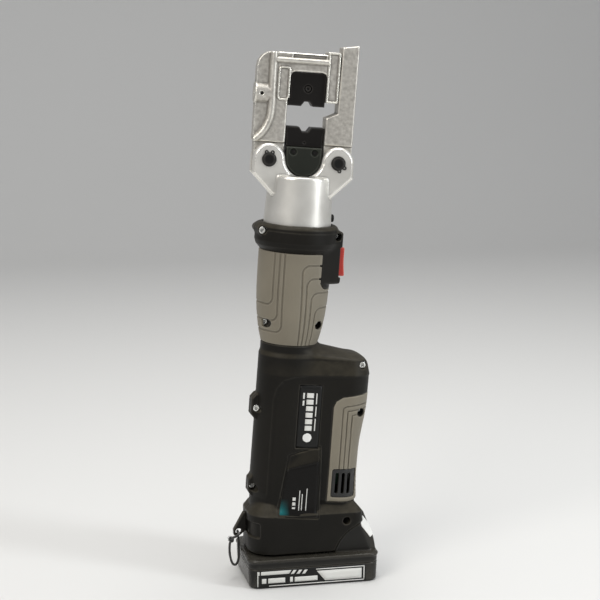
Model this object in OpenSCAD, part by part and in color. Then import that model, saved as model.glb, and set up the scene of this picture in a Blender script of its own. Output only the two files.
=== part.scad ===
// In-line battery hydraulic crimping tool with a flip-top head, standing on its battery.
// World frame: origin at the middle of the battery's base, X along the battery, +X on the trigger side.
// The tool itself leans a little towards +X, so its own parts are drawn along a leaning axis.

/* [Stance] */
// Lean of the tool's axis from vertical, degrees
lean = 4.25; // [0:0.25:8]
// Where the tool's axis meets the base, from the battery's middle
axis_x = -32; // [-36:0.5:-28]
// Turn of the head on its swivel at rest, degrees
head_turn = -6; // [-20:1:20]

/* [Battery] */
// Length of the battery
battery_l = 118; // [116:1:124]
// Width of the battery
battery_w = 75; // [72:1:82]
// Height of the battery's side
battery_h = 27; // [26:0.5:32]
// Height of the battery's lower tray
tray_h = 18; // [15:0.5:19]
// Corner radius of the battery seen from above
battery_corner = 8; // [5:0.5:10]
// Diameter of one battery cell
cell_d = 18.2; // [17.8:0.1:18.6]
// Length of one battery cell
cell_l = 65; // [60:1:67]

/* [Foot] */
// Height of the foot's straight side
foot_h = 33.4; // [30:0.2:38]
// Half width of the foot
foot_half = 31.5; // [30:0.5:34]
// Radius of the seam between the foot and the battery's nose
seam_r = 38; // [36:0.5:40]

/* [Body] */
// Wall of the shells
wall = 2.4; // [2:0.1:2.8]
// Radius of the motor tube at its foot
tube_r_low = 27.2; // [26.8:0.2:29]
// Radius of the motor tube at its top
tube_r_top = 24.8; // [24.6:0.1:26]
// Reach of the body towards the trigger side
bulge_reach = 76.4; // [74:0.5:80]
// Half width of the body
bulge_half = 28.5; // [28:0.5:31]
// Level of the shoulder along the axis
body_top = 204; // [202:1:212]
// Rise of the domed shoulder
dome_rise = 4; // [2:0.5:5]

/* [Grip] */
// Gap between the shoulder and the grip
neck_h = 12; // [10:1:16]
// Length of the grip
grip_len = 82; // [80:1:92]
// Radius of the grip at its top
grip_r_top = 32.2; // [31.6:0.2:34]
// Radius of the grip at its foot
grip_r_low = 25; // [24.9:0.1:27]
// Thickness of the soft grip skin
skin = 2.4; // [1.8:0.1:2.6]

/* [Collar and trigger] */
// Height of the collar above the grip
collar_h = 24; // [23:0.5:28]
// Radius of the collar
collar_r = 36.5; // [36:0.5:39]
// Reach of the trigger housing from the axis
housing_reach = 41.5; // [41:0.5:44]
// Height of the trigger
trigger_h = 23; // [20:0.5:24]
// Width of the trigger
trigger_w = 15; // [12:0.5:17]
// How far the trigger stands out
trigger_proud = 2.8; // [2:0.2:5]
// Travel of the trigger
trigger_travel = 4.5; // [3:0.5:4.5]

/* [Head] */
// Height of the silver cylinder above the collar
cone_h = 42; // [32:1:46]
// Radius of the silver cylinder at the collar
cone_r_low = 29.7; // [29:0.1:30]
// Radius of the silver cylinder at its top
cone_r_top = 25; // [24:0.5:27]
// Height of the hinge pins above the cylinder
pin_rise = 13; // [12:0.5:24]
// Distance between the hinge pins
pin_span = 60.2; // [60:0.2:66]
// Radius of the hinge pins
pin_r = 6; // [5:0.25:6.5]
// Radius of the forked ears
ear_r = 14; // [13:0.25:14]
// Thickness of the yoke across both cheeks
yoke_t = 34; // [32:1:38]
// Thickness of the frame's hinge tongue
tongue_t = 19; // [17:0.5:20]
// Thickness of the swing frame and the latch
frame_t = 24; // [22:0.5:28]
// Outside of the swing frame's left limb, from the axis
frame_reach = 45; // [44.5:0.5:48]
// Height of the frame's top bar
bar_h = 15.7; // [13:0.5:19]
// Outside of the latch arm, from the axis
latch_reach = 42; // [40:0.5:44]

/* [Ram and dies] */
// Opening between the dies at rest
die_gap = 18; // [14:0.5:20]
// Width of a die
die_w = 30.6; // [28:0.2:31]
// Thickness of a die
die_t = 20; // [16:0.5:21]
// Height of the upper die
upper_die_h = 29; // [27:0.5:32]
// Height of the lower die
lower_die_h = 17; // [15:0.5:20]
// Radius of the hydraulic cylinder's bore
bore_r = 18.5; // [16:0.25:19]
// Radius of the ram's rod
rod_r = 11; // [9:0.25:12]

/* [Drive] */
// Radius of the motor
motor_r = 21; // [19:0.25:21]
// Length of the motor
motor_len = 60; // [54:1:62]
// Radius of the pump block
pump_r = 19.6; // [18:0.2:19.6]
// Gear module
gear_m = 0.8; // [0.75:0.01:0.8]
// Teeth of the sun pinion
sun_teeth = 12; // [12:6:12]
// Teeth of each planet gear
planet_teeth = 18; // [18:6:18]
// Throw of the pump's eccentric
throw = 1.5; // [1:0.1:2]

/* [Hidden] */
$fn = 64;

// Clearances
gap = 0.3;
run = 0.05;
big = 400;

// Levels along the leaning axis, from the base up
foot_low = battery_h + 1.6;
foot_top = foot_low + foot_h;
body_low = foot_top - 6;
grip_low = body_top + neck_h;
grip_top = grip_low + grip_len;
collar_top = grip_top + collar_h;
cone_low = collar_top - 4;
cone_top = collar_top + cone_h;
pin_level = cone_top + pin_rise;

// Body outline
bulge_corner = 20;
shoulder_r = 10;
shoulder_level = body_top + dome_rise - shoulder_r;
waist_level = 100;
waist_in = 5.6;
flank_level = 160;
dome_r = 100;
bulge_centre = [bulge_reach - bulge_corner, -(bulge_half - bulge_corner)];

// Foot outline, in the world frame
foot_in = 3;
nose_l = 13;
foot_left = foot_in - battery_l / 2;
foot_right = battery_l / 2 - nose_l;
foot_corner = 22;
foot_nose_corner = 8;
bevel_h = 10;
bevel_in = 6;
seam_level = 17;
seam_centre = [battery_l / 2 - foot_in, seam_level];

// Sliding rail between the battery and the foot, in the world frame
rail_half = 20;
rail_h = 8;
rail_left = foot_left + 14;
rail_right = foot_right - 24;
rail_roof = foot_low + rail_h + 2.4;

// Swivel and cylinder
spigot_r = 24;
spigot_low = grip_top - 15;
flange_r = 26;
flange_h = 3.4;
swivel_h = 6;
swivel_low = spigot_low + flange_h + gap;
swivel_top = swivel_low + swivel_h;
pipe_r = 5;
bore_low = spigot_low + 7;
bore_top = cone_top - 12;
piston_low = bore_low + 1;
piston_h = 10;
seal_h = 3;
wiper_h = 4;
wiper_r = rod_r + 3;

// Yoke and the closed head
slot_t = tongue_t + 0.4;
throat_r = pin_span / 2 - ear_r;
throat_level = pin_level + 2;
slot_floor = pin_level - ear_r - 0.6;
ear_drop = 13;
ear_foot_level = pin_level - 31;
hinge_gap = 0.6;
limb_low = pin_level + ear_r + hinge_gap;
tongue_r = ear_r - 0.7;
ram_half = throat_r - 0.8;
ram_t = 29;
ram_room = 3;
wiper_in = 1.5;
wiper_low = throat_level - throat_r - wiper_in - wiper_h;
ram_top = throat_level + 10;
lower_top = ram_top + lower_die_h;
upper_low = lower_top + die_gap;
upper_top = upper_low + upper_die_h;
bar_low = upper_top + gap;
bar_top = bar_low + bar_h;
frame_corner = 13;
die_half = die_w / 2;
die_foot = 1.3;
die_foot_h = 6;
limb_in = die_half + die_foot + 0.6;
limb_pad = die_half + 0.5;
right_limb_w = 10.4;
right_limb_out = limb_pad + right_limb_w;
latch_in = right_limb_out + 0.6;
latch_step = lower_top + 9;
ram_travel = die_gap - 0.4;

// Hinge pins, their circlips, the latch's spring, the ram's dowels and the stop screw
pin_over = 2.4;
clip_t = 1.1;
spring_room = 4;
dowel_x = 9.4;
dowel_r = 1.8;
stop_r = 2.6;
stop_len = 8;
stop_head_r = 3.4;
stop_head_h = 3.6;
stop_level = collar_top + 5;

// Die lock in the round boss of the swing frame
lock_level = upper_low + 9;
lock_r = 2.5;
lock_travel = 3.2;
lock_spring_r = 4.2;
lock_boss_r = 8.6;
lock_depth = 2.8;

// Trigger and its switch
house_low = grip_top - 29.5;
house_half = 14;
house_root = 25.5;
trigger_low = grip_top - 24.5;
trigger_out = housing_reach + trigger_proud;
trigger_flange_t = 3;
trigger_flange_over = 1.6;
pocket_floor = 28.5;
switch_reach = 26.6;
switch_h = 17;
switch_low = house_low - 5.5;

// Motor, gears and pump along the axis
motor_low = foot_top + 14;
motor_top = motor_low + motor_len;
motor_wall = 2.6;
bearing_r = 6.5;
bearing_h = 4;
shaft_r = 2.5;
gear_h = 8;
gear_low = motor_top + 5;
gear_top = gear_low + gear_h;
ring_teeth = sun_teeth + 2 * planet_teeth;
orbit = gear_m * (sun_teeth + planet_teeth) / 2;
ring_r = gear_m * ring_teeth / 2 + 2.4;
planet_pin_r = 2;
carrier_h = 4;
carrier_low = gear_top + gap;
carrier_top = carrier_low + carrier_h;
cover_low = carrier_top + gap;
cover_h = 10;
cover_top = cover_low + cover_h;
drive_r = 5;
drive_bearing_r = 11;
lobe_r = 7;
lobe_ring = 3;
lobe_h = 10;
lobe_low = cover_top + 2;
lobe_top = lobe_low + lobe_h;
stub_r = 4;
stub_h = 7;
pump_low = cover_top + gap;
pump_well_r = lobe_r + lobe_ring + throw + 1;
pump_well_top = lobe_top + 2;
pump_top = spigot_low - 21;
plunger_r = 3.5;
plunger_in = lobe_r + lobe_ring + throw + gap;
plunger_head = 1.6;
pipe_seat = 12;
pipe_in = 5;
valve_r = 4;
valve_len = 22;
valve_hex_h = 2;
valve_place = 12;
bladder_low = pump_top + 3;
bladder_top = spigot_low - 2;

// Fasteners: place across the axis, level, depth of the head, and 1 where the boss stands out of the shells
screw_r = 1.5;
screw_head_r = 3.1;
screw_head_h = 2.2;
screw_boss_r = 4.4;
screw_len = 11;
grip_screw_level = grip_low + 20.6;
tube_screw_level = body_top - 48;
low_screw_level = foot_top + 21;
pad_screw_level = body_top - 46;
SCREWS = [
    [-(collar_r - 3.6), grip_top + 13, 15, 1],
    [housing_reach - 7, grip_top + 10, 17.5, 0],
    [-(pump_r + 5.2), grip_screw_level, 8.5, 0],
    [pump_r + 5.2, grip_screw_level, 8.5, 0],
    [-(tube_r_top + 4), tube_screw_level, 7, 1],
    [-(tube_r_low + 2.2), low_screw_level, 7, 1],
    [bulge_reach - 12, body_top - 8, 21, 0],
    [bulge_reach - 11, pad_screw_level, 21, 0],
    [bulge_reach - 18, foot_top + 2, 25, 0]];

// Side pads, grilles and label plates on the body's flanks
pad_t = 2;
pad_w = 37.4;
pad_left = bulge_reach - pad_w;
pad_low = foot_top + 15;
pad_top = body_top - 32;
pad_corner = 8;
grille_in = 5;
grille_w = 19;
grille_left = pad_left + grille_in;
grille_right = grille_left + grille_w;
grille_low = foot_top + 21;
grille_h = 22;
grille_bars = 3;
label_left = 5;
label_gap = 12;
label_right = pad_left - label_gap;
label_h = 57;
label_top = body_top - 22;
label_low = label_top - label_h;
label_t = 0.8;

// Control board, with three capacitors and a heat sink, in the room beside the motor tube
board_in = 2;
board_edge = 18;
board_left = tube_r_low + board_in;
board_l = bulge_reach - board_edge - board_left;
board_low = pad_low + 8;
board_h = 84;
board_y = 2;
board_t = 1.6;
can_r = 5;
can_h = 8;
can_low = 14;
can_pitch = 22;
sink_l = 14;
sink_t = 10;
sink_h = 30;
sink_low = 6;

// Lanyard lug in the world frame, and the cord's route from its eye, closed in a knot
lug_half = 3;
eye_place = [foot_left - 6.5, foot_low + 14.9];
eye_r = 2.8;
cord_r = 1.1;
CORD_ROUTE = [
    [-6.5, -3, -6],
    [-5.3, -6, -4.1],
    [-2.9, -7.8, -2.5],
    [-0.8, -6.4, -1.7],
    [0, -3.5, -1.6],
    [0, 0, -1.6],
    [0, 3.5, -1.6],
    [0.4, 6.2, -2.2],
    [1, 7.7, -4.7],
    [1.3, 7.4, -8.5],
    [1.3, 6.2, -13.5],
    [1.3, 5, -19.5],
    [0.9, 3.6, -26],
    [-0.7, 2.2, -30.7],
    [-3.3, 1, -32.1],
    [-5.8, 0, -29.5],
    [-7.5, -0.8, -24],
    [-8.3, -1.4, -17.5],
    [-8.1, -1.9, -11.5],
    [-7.1, -2.3, -7.9]];

// Battery details, in the world frame
battery_wall = 2;
cell_pitch = cell_d + 0.6;
button_block = 11;
cell_count = floor((battery_l - battery_wall - button_block - 2 * gap) / cell_pitch);
cell_mid = (battery_wall - button_block) / 2;
hump_half = 29;
hump_top = 53.5;
nose_low = battery_h + 3;
nose_top_x = battery_l / 2 - 15.5;
button_half = 13;
button_travel = 2.5;
button_proud = 1.2;
button_h = 6.4;
button_flange = 1.8;
button_over = 2;
button_room = 9;
blade_t = 0.8;
blade_l = 20;
blade_left = rail_left + 4;
BLADES = [-12, -4, 4, 12];

// Places a piece along the leaning axis
module on_axis() {
    translate([axis_x, 0, 0]) rotate([0, lean, 0]) children();
}

// Places a piece on the head, which turns on its swivel
module on_head() {
    on_axis() rotate([0, 0, head_turn]) children();
}

// Extrudes an outline drawn in x and level along Y, with its middle on the parting plane
module slab(t) {
    rotate([90, 0, 0]) linear_extrude(height = t, center = true) children();
}

// Ring between two radii
module ring(r_out, r_in, h) {
    difference() {
        cylinder(r = r_out, h = h);
        translate([0, 0, -1]) cylinder(r = r_in, h = h + 2);
    }
}

// Rod along Y through a place given by x and level
module cross_rod(place, r, y_from, y_to) {
    translate([place[0], y_from, place[1]]) rotate([-90, 0, 0]) cylinder(r = r, h = y_to - y_from);
}

// Rod along X at a level
module side_rod(level, r, x_from, x_to) {
    translate([x_from, 0, level]) rotate([0, 90, 0]) cylinder(r = r, h = x_to - x_from);
}

// Keeps the near half (side -1) or the far half (side 1) of a piece
module half(side) {
    intersection() {
        children();
        translate([-big / 2, side < 0 ? -big : 0, -big / 2]) cube([big, big, 2 * big]);
    }
}

// Tube swept along points, its rings carried along without twist
function unit(v) = v / norm(v);
function tangent(path, i) = unit(path[min(i + 1, len(path) - 1)] - path[max(i - 1, 0)]);
function across(v, t) = unit(v - (v * t) * t);
function spline(a, b, c, d, t) =
    0.5 * (2 * b + (c - a) * t + (2 * a - 5 * b + 4 * c - d) * t * t + (3 * b - a - 3 * c + d) * t * t * t);
function smooth_path(p, n) = concat(
    [for (i = [0 : len(p) - 2]) for (k = [0 : n - 1])
        spline(p[max(i - 1, 0)], p[i], p[i + 1], p[min(i + 2, len(p) - 1)], k / n)],
    [p[len(p) - 1]]);
module swept_tube(path, r, sides, first_normal) {
    n = len(path);
    normals = [for (i = 0, v = across(first_normal, tangent(path, 0)); i < n;
        i = i + 1, v = across(v, tangent(path, min(i, n - 1)))) v];
    points = [for (i = [0 : n - 1]) for (k = [0 : sides - 1])
        path[i] + r * (cos(360 * k / sides) * normals[i]
            + sin(360 * k / sides) * cross(tangent(path, i), normals[i]))];
    walls = [for (i = [0 : n - 2]) for (k = [0 : sides - 1])
        [i * sides + k, (i + 1) * sides + k, (i + 1) * sides + (k + 1) % sides, i * sides + (k + 1) % sides]];
    caps = [[for (k = [0 : sides - 1]) k], [for (k = [sides - 1 : -1 : 0]) (n - 1) * sides + k]];
    polyhedron(points, concat(walls, caps));
}

// Coil spring standing on its lower end
module coil(r, wire_r, length, turns) {
    steps = 14;
    rise = length - 2 * wire_r;
    path = [for (i = [0 : turns * steps])
        [r * cos(360 * i / steps), r * sin(360 * i / steps), wire_r + rise * i / (turns * steps)]];
    swept_tube(path, wire_r, 6, [1, 0, 0]);
}

// Involute gear outline; clear thins each flank, tip and root are heights in modules
function involute(a) = tan(a) * 180 / PI - a;
function flank(rp, half_deg, r) = half_deg + involute(20) - involute(acos(min(1, rp * cos(20) / r)));
module gear_outline(teeth, clear, tip, root) {
    rp = gear_m * teeth / 2;
    half_deg = 90 / teeth - clear / rp * 180 / PI;
    r_tip = rp + tip * gear_m;
    r_root = rp - root * gear_m;
    r_start = max(r_root, rp * cos(20));
    steps = 4;
    radii = [for (k = [0 : steps]) r_start + (r_tip - r_start) * k / steps];
    tooth = concat(
        [[r_root, -flank(rp, half_deg, r_start)]],
        [for (k = [0 : steps]) [radii[k], -flank(rp, half_deg, radii[k])]],
        [for (k = [steps : -1 : 0]) [radii[k], flank(rp, half_deg, radii[k])]],
        [[r_root, flank(rp, half_deg, r_start)]]);
    polygon([for (i = [0 : teeth - 1]) for (p = tooth)
        p[0] * [cos(p[1] + 360 * i / teeth), sin(p[1] + 360 * i / teeth)]]);
}

// Round plus straight outline of the body seen along the axis
function tangent_normal(r_a, r_b, c) =
    let (turn = atan2(c[1], c[0]) - acos((r_a - r_b) / norm(c))) [cos(turn), sin(turn)];
module body_plan(inset) {
    r_a = tube_r_top - inset;
    r_b = bulge_corner - inset;
    c = bulge_centre;
    n = tangent_normal(r_a, r_b, c);
    circle(r = r_a);
    for (side = [-1, 1]) translate([c[0], side * c[1]]) circle(r = r_b);
    polygon([r_a * n, c + r_b * n, [c[0] + r_b, c[1]], [c[0] + r_b, -c[1]],
        [c[0] + r_b * n[0], -c[1] - r_b * n[1]], [r_a * n[0], -r_a * n[1]]]);
}

// Side outline of the body, waisted on the trigger side, with a rounded shoulder
module body_side(inset) {
    reach = bulge_reach - inset;
    top = body_top + dome_rise - inset;
    corner = [bulge_reach - shoulder_r, shoulder_level];
    polygon([[-2 * tube_r_low, body_low], [reach - waist_in + 2, body_low], [reach - waist_in, waist_level],
        [reach, flank_level], [reach, corner[1]], [corner[0], top], [-2 * tube_r_low, top]]);
    translate(corner) circle(r = shoulder_r - inset);
}

// Body block with its domed shoulder
module body_block(inset) {
    intersection() {
        translate([0, 0, body_low]) linear_extrude(height = body_top + dome_rise - body_low) body_plan(inset);
        slab(4 * bulge_half) body_side(inset);
        side_rod(body_top + dome_rise - dome_r, dome_r - inset, -2 * tube_r_low, 2 * bulge_reach);
    }
}

// Motor tube and neck, one round column inside the body
module body_tube(inset) {
    translate([0, 0, body_low])
        cylinder(r1 = tube_r_low - inset, r2 = tube_r_top - inset, h = body_top - body_low);
    translate([0, 0, body_top - 4]) cylinder(r = grip_r_low - (inset > 0 ? skin : 0) - inset, h = neck_h + 4);
}

// Barrel shape of the grip
function grip_radius(t) = grip_r_top - (grip_r_top - grip_r_low) * pow(1 - t, 3.5);
module grip_barrel(inset) {
    steps = 10;
    rotate_extrude() polygon(concat([[0, grip_low]],
        [for (k = [0 : steps]) [grip_radius(k / steps) - inset, grip_low + grip_len * k / steps]],
        [[0, grip_top]]));
}

// Collar above the grip
module collar_block() {
    rotate_extrude() polygon([[0, grip_top], [grip_r_top - skin, grip_top], [grip_r_top, grip_top + 0.5],
        [collar_r, grip_top + 8], [collar_r, collar_top - 5], [collar_r - 3, collar_top], [0, collar_top]]);
}

// Trigger housing on the side of the collar, a blunt wedge seen along the axis
module housing_block() {
    translate([0, 0, house_low]) linear_extrude(height = collar_top - 4 - house_low)
        polygon([[0, -house_root], [house_root - 6, -house_root], [housing_reach, -house_half],
            [housing_reach, house_half], [house_root - 6, house_root], [0, house_root]]);
}

// Foot seen from above, rounded on the motor side
module foot_plan(inset) {
    x_left = foot_left + foot_corner;
    x_right = foot_right - foot_nose_corner;
    side = foot_half - inset;
    y_left = foot_half - foot_corner;
    y_right = foot_half - foot_nose_corner;
    for (k = [-1, 1]) {
        translate([x_left, k * y_left]) circle(r = foot_corner - inset, $fn = 64);
        translate([x_right, k * y_right]) circle(r = foot_nose_corner - inset, $fn = 32);
    }
    polygon([[x_left, -side], [x_right, -side], [foot_right - inset, -y_right], [foot_right - inset, y_right],
        [x_right, side], [x_left, side], [foot_left + inset, y_left], [foot_left + inset, -y_left]]);
}

// Cut that the battery's nose sits in
module nose_cut(r) {
    cross_rod(seam_centre, r, -2 * foot_half, 2 * foot_half);
}

// Foot block with its bevelled top
module foot_block() {
    translate([0, 0, foot_low]) linear_extrude(height = foot_h) foot_plan(0);
    hull() {
        translate([0, 0, foot_top - 0.5]) linear_extrude(height = 0.5) foot_plan(0);
        translate([0, 0, foot_top + bevel_h - 0.5]) linear_extrude(height = 0.5) foot_plan(bevel_in);
    }
}

// Space inside the foot: the open rail slot, its roof with the blade slits, and the room above
module foot_space() {
    translate([rail_left - gap, -rail_half - gap, foot_low - 1])
        cube([foot_right - rail_left + 20, 2 * (rail_half + gap), rail_h + 1 + gap]);
    for (y = BLADES)
        translate([blade_left - gap, y - blade_t / 2 - gap, foot_low])
            cube([blade_l + 2 * gap, blade_t + 2 * gap, rail_roof - foot_low + 1]);
    difference() {
        translate([0, 0, rail_roof]) linear_extrude(height = foot_top - rail_roof + 2) foot_plan(wall);
        nose_cut(seam_r + wall);
        on_axis() screw_columns();
    }
}

// Space for the turning head inside the collar
module swivel_space() {
    translate([0, 0, spigot_low - 0.5]) cylinder(r = flange_r + 0.4, h = swivel_low - spigot_low + 0.5);
    translate([0, 0, swivel_low]) cylinder(r = flange_r + 1, h = swivel_h);
    translate([0, 0, swivel_top - 1]) cylinder(r = spigot_r + 0.4, h = cone_low - swivel_top + 2);
    translate([0, 0, cone_low - 0.4]) cylinder(r = cone_r_low + 1.1, h = collar_top - cone_low + 2);
}

// Pocket of the trigger, with the window that it stands out of
module trigger_space() {
    pocket_w = trigger_w + 2 * trigger_flange_over + 2 * gap;
    pocket_h = trigger_h + 2 * trigger_flange_over + 2 * gap;
    translate([pocket_floor, -pocket_w / 2, trigger_low - trigger_flange_over - gap])
        cube([housing_reach - wall - pocket_floor, pocket_w, pocket_h]);
    translate([pocket_floor, -trigger_w / 2 - gap, trigger_low - gap])
        cube([housing_reach - pocket_floor + 2, trigger_w + 2 * gap, trigger_h + 2 * gap]);
    translate([0, -6 - gap, switch_low - gap]) cube([pocket_floor + 1, 12 + 2 * gap, switch_h + 2 * gap]);
}

// Ribs inside the shells that seat the motor, the gearbox and the pump
module seat_ribs() {
    rib = 3;
    rib_out = tube_r_low;
    for (level = [motor_low + 6, motor_top - 9])
        translate([0, 0, level]) ring(rib_out, motor_r + gap, rib);
    translate([0, 0, gear_low + 2]) ring(rib_out, ring_r + 0.1, rib);
    translate([0, 0, cover_low + 4]) ring(rib_out, motor_r + gap, rib);
    for (level = [pump_well_top + 4, grip_low - 8])
        translate([0, 0, level]) ring(rib_out, pump_r + gap, rib);
}

// Posts on the far shell that carry the control board
module board_posts() {
    for (level = [board_low + 48, board_low + board_h - 8])
        cross_rod([board_left + board_l / 2, level], 3, board_y + board_t, big / 4);
}

// Round bosses about the screws: those at the edge stand out of the shells, and all run from wall to wall
module edge_bosses() {
    for (s = SCREWS) if (s[3] == 1) cross_rod([s[0], s[1]], screw_boss_r, -s[2] + 0.5, s[2] - 0.5);
}
module screw_columns() {
    for (s = SCREWS) cross_rod([s[0], s[1]], screw_boss_r, -big / 4, big / 4);
}

// Outside and inside of the whole handle
module handle_outside() {
    foot_block();
    on_axis() {
        body_block(0);
        body_tube(0);
        grip_barrel(skin);
        collar_block();
        housing_block();
        edge_bosses();
    }
}
module handle_inside() {
    foot_space();
    difference() {
        on_axis() difference() {
            union() {
                body_block(wall + pad_t);
                body_tube(wall);
                intersection() {
                    grip_barrel(skin + wall);
                    cylinder(r = big, h = spigot_low - 2);
                }
            }
            seat_ribs();
            screw_columns();
            board_posts();
            cylinder(r = big, h = body_low + 3);
        }
        nose_cut(seam_r + wall);
    }
    on_axis() {
        translate([0, 0, body_low]) cylinder(r = spigot_r - 4, h = spigot_low - body_low);
        swivel_space();
        trigger_space();
    }
}
module screw_holes() {
    for (s = SCREWS) {
        cross_rod([s[0], s[1]], screw_r + gap, -s[2] - 1, screw_len);
        cross_rod([s[0], s[1]], screw_head_r + gap, -big / 4, -s[2] + screw_head_h + gap);
    }
}

// Layer of a flank, from the outside down to a depth, inside an outline drawn in x and level
module flank_layer(depth) {
    intersection() {
        difference() {
            body_block(0);
            body_block(depth);
        }
        slab(4 * bulge_half) children();
    }
}

// Outlines on the flank
module pad_outline() {
    far = bulge_reach + 10;
    difference() {
        polygon([[pad_left, pad_low], [far, pad_low], [far, pad_top + 6], [pad_left + 20, pad_top + 2],
            [pad_left + pad_corner, pad_top], [pad_left, pad_top - pad_corner]]);
        translate([bulge_reach - 11, pad_screw_level]) circle(r = screw_head_r + 0.8);
    }
}
module grille_outline() {
    translate([grille_left, grille_low]) square([grille_right - grille_left, grille_h]);
}
module grille_slots() {
    pitch = (grille_right - grille_left) / grille_bars;
    for (k = [0 : grille_bars - 1])
        translate([grille_left + pitch * (k + 0.25), grille_low + 2]) square([pitch * 0.5, grille_h - 4]);
}
module label_outline() {
    translate([label_left, label_low]) square([label_right - label_left, label_top - label_low]);
}

// Half shell of the handle
module shell(side) {
    color("#26261f") half(side) difference() {
        handle_outside();
        handle_inside();
        nose_cut(seam_r);
        on_axis() {
            screw_holes();
            flank_layer(pad_t) pad_outline();
            flank_layer(label_t) label_outline();
            slab(4 * bulge_half) grille_slots();
        }
    }
}
module near_shell() { shell(-1); }
module far_shell() { shell(1); }

// Soft skin over one half of the grip
module grip_skin(side) {
    color("#8f8878") on_axis() half(side) difference() {
        grip_barrel(0);
        grip_barrel(skin);
        housing_block();
        for (s = SCREWS) cross_rod([s[0], s[1]], screw_head_r + 0.8, -big / 4, big / 4);
    }
}
module near_grip() { grip_skin(-1); }
module far_grip() { grip_skin(1); }

// Grey side pad with the window for its grille
module side_pad(side) {
    color("#8f8878") on_axis() half(side) flank_layer(pad_t) difference() {
        pad_outline();
        grille_outline();
    }
}
module near_pad() { side_pad(-1); }
module far_pad() { side_pad(1); }

// Air grilles in both pads
module vent_grilles() {
    color("#1c1c1c") on_axis() for (side = [-1, 1]) half(side) flank_layer(pad_t) difference() {
        grille_outline();
        grille_slots();
    }
}

// Bare plates let into both flanks
module label_plates() {
    color("#141414") on_axis() for (side = [-1, 1]) half(side) flank_layer(label_t) label_outline();
}

// Screws that hold the two shells together
module shell_screws() {
    color("silver") on_axis() for (s = SCREWS) {
        cross_rod([s[0], s[1]], screw_head_r, -s[2], -s[2] + screw_head_h);
        cross_rod([s[0], s[1]], screw_r, -s[2], screw_len - 1);
    }
}

// Ring in the shells that holds the head by its flange and lets it turn
module swivel_ring() {
    color("goldenrod") on_axis() translate([0, 0, swivel_low])
        ring(flange_r + 1 - run, spigot_r + run, swivel_h - gap);
}

// Pump block with the eccentric's well, the plunger's bore and the valve bores
module pump_block() {
    color("#9a9da1") on_axis() difference() {
        translate([0, 0, pump_low]) cylinder(r = pump_r, h = pump_top - pump_low);
        translate([0, 0, pump_low - 1]) cylinder(r = pump_well_r, h = pump_well_top - pump_low + 1);
        translate([0, 0, pump_well_top - 1]) cylinder(r = stub_r + run, h = stub_h + 2);
        side_rod(lobe_low + lobe_h / 2, plunger_r + run, 0, pump_r - 1.5);
        side_rod(lobe_low + lobe_h / 2, plunger_r + 2.4, 0, plunger_in + plunger_head + 3);
        translate([0, 0, pump_top - pipe_seat]) cylinder(r = pipe_r, h = pipe_seat + 1);
        for (x = [-1, 1])
            translate([x * valve_place, 0, pump_top - valve_len]) cylinder(r = valve_r, h = valve_len + 1);
    }
}

// Plunger that the eccentric drives, at the outer end of its stroke
module pump_plunger() {
    level = lobe_low + lobe_h / 2;
    color("#c8c8c8") on_axis() {
        side_rod(level, plunger_r + 1.6, plunger_in, plunger_in + plunger_head);
        side_rod(level, plunger_r, plunger_in, pump_r - 2.4);
    }
}
module plunger_spring() {
    color("#7d7d80") on_axis() translate([plunger_in + plunger_head, 0, lobe_low + lobe_h / 2])
        rotate([0, 90, 0]) coil(plunger_r + 1.2, 0.5, 3, 2);
}

// Pipe that carries the oil up into the turning head
module pressure_pipe() {
    color("#b0b0b0") on_axis() translate([0, 0, pump_top - pipe_seat])
        ring(pipe_r, 2, spigot_low + pipe_in - pump_top + pipe_seat);
}

// Valves screwed into the top of the pump block
module valve(x) {
    on_axis() translate([x * valve_place, 0, pump_top - valve_len]) {
        cylinder(r = valve_r, h = valve_len);
        translate([0, 0, valve_len]) cylinder(r = valve_r - 0.8, h = valve_hex_h, $fn = 6);
    }
}
module relief_valve() { color("#b58b3c") valve(-1); }
module return_valve() { color("#a9a9ad") valve(1); }

// Soft oil reservoir round the pipe
module oil_bladder() {
    color("#202020") on_axis() translate([0, 0, bladder_low])
        ring(pump_r - 0.4, pipe_r + gap, bladder_top - bladder_low);
}

// Gearbox cover with the seat of the drive shaft's bearing
module gearbox_cover() {
    color("#8d9093") on_axis() translate([0, 0, cover_low]) difference() {
        cylinder(r = motor_r, h = cover_h);
        translate([0, 0, -1]) cylinder(r = drive_r + 1, h = cover_h + 2);
        translate([0, 0, 2]) cylinder(r = drive_bearing_r, h = cover_h);
    }
}
module shaft_bearing() {
    color("#c4c6c9") on_axis() translate([0, 0, cover_low + 2]) ring(drive_bearing_r, drive_r + run, 6);
}

// Internal ring gear
module ring_gear() {
    color("#77797c") on_axis() translate([0, 0, motor_top]) difference() {
        cylinder(r = ring_r, h = cover_low - motor_top);
        translate([0, 0, -1]) linear_extrude(height = cover_low - motor_top + 2)
            rotate(180 / ring_teeth) gear_outline(ring_teeth, -0.06, 1.15, 0.75);
    }
}

// Motor housing with a bearing seat at each end
module motor_can() {
    color("#6f7072") on_axis() translate([0, 0, motor_low]) difference() {
        cylinder(r = motor_r, h = motor_len);
        translate([0, 0, bearing_h + 1])
            cylinder(r = motor_r - motor_wall, h = motor_len - 2 * bearing_h - 2);
        for (z = [1, motor_len - bearing_h - 1])
            translate([0, 0, z]) cylinder(r = bearing_r, h = bearing_h);
        translate([0, 0, -1]) cylinder(r = bearing_r - 1.5, h = motor_len + 2);
    }
}
module motor_bearings() {
    color("#c4c6c9") on_axis() for (z = [1, motor_len - bearing_h - 1])
        translate([0, 0, motor_low + z]) ring(bearing_r, shaft_r + run, bearing_h);
}

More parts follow.
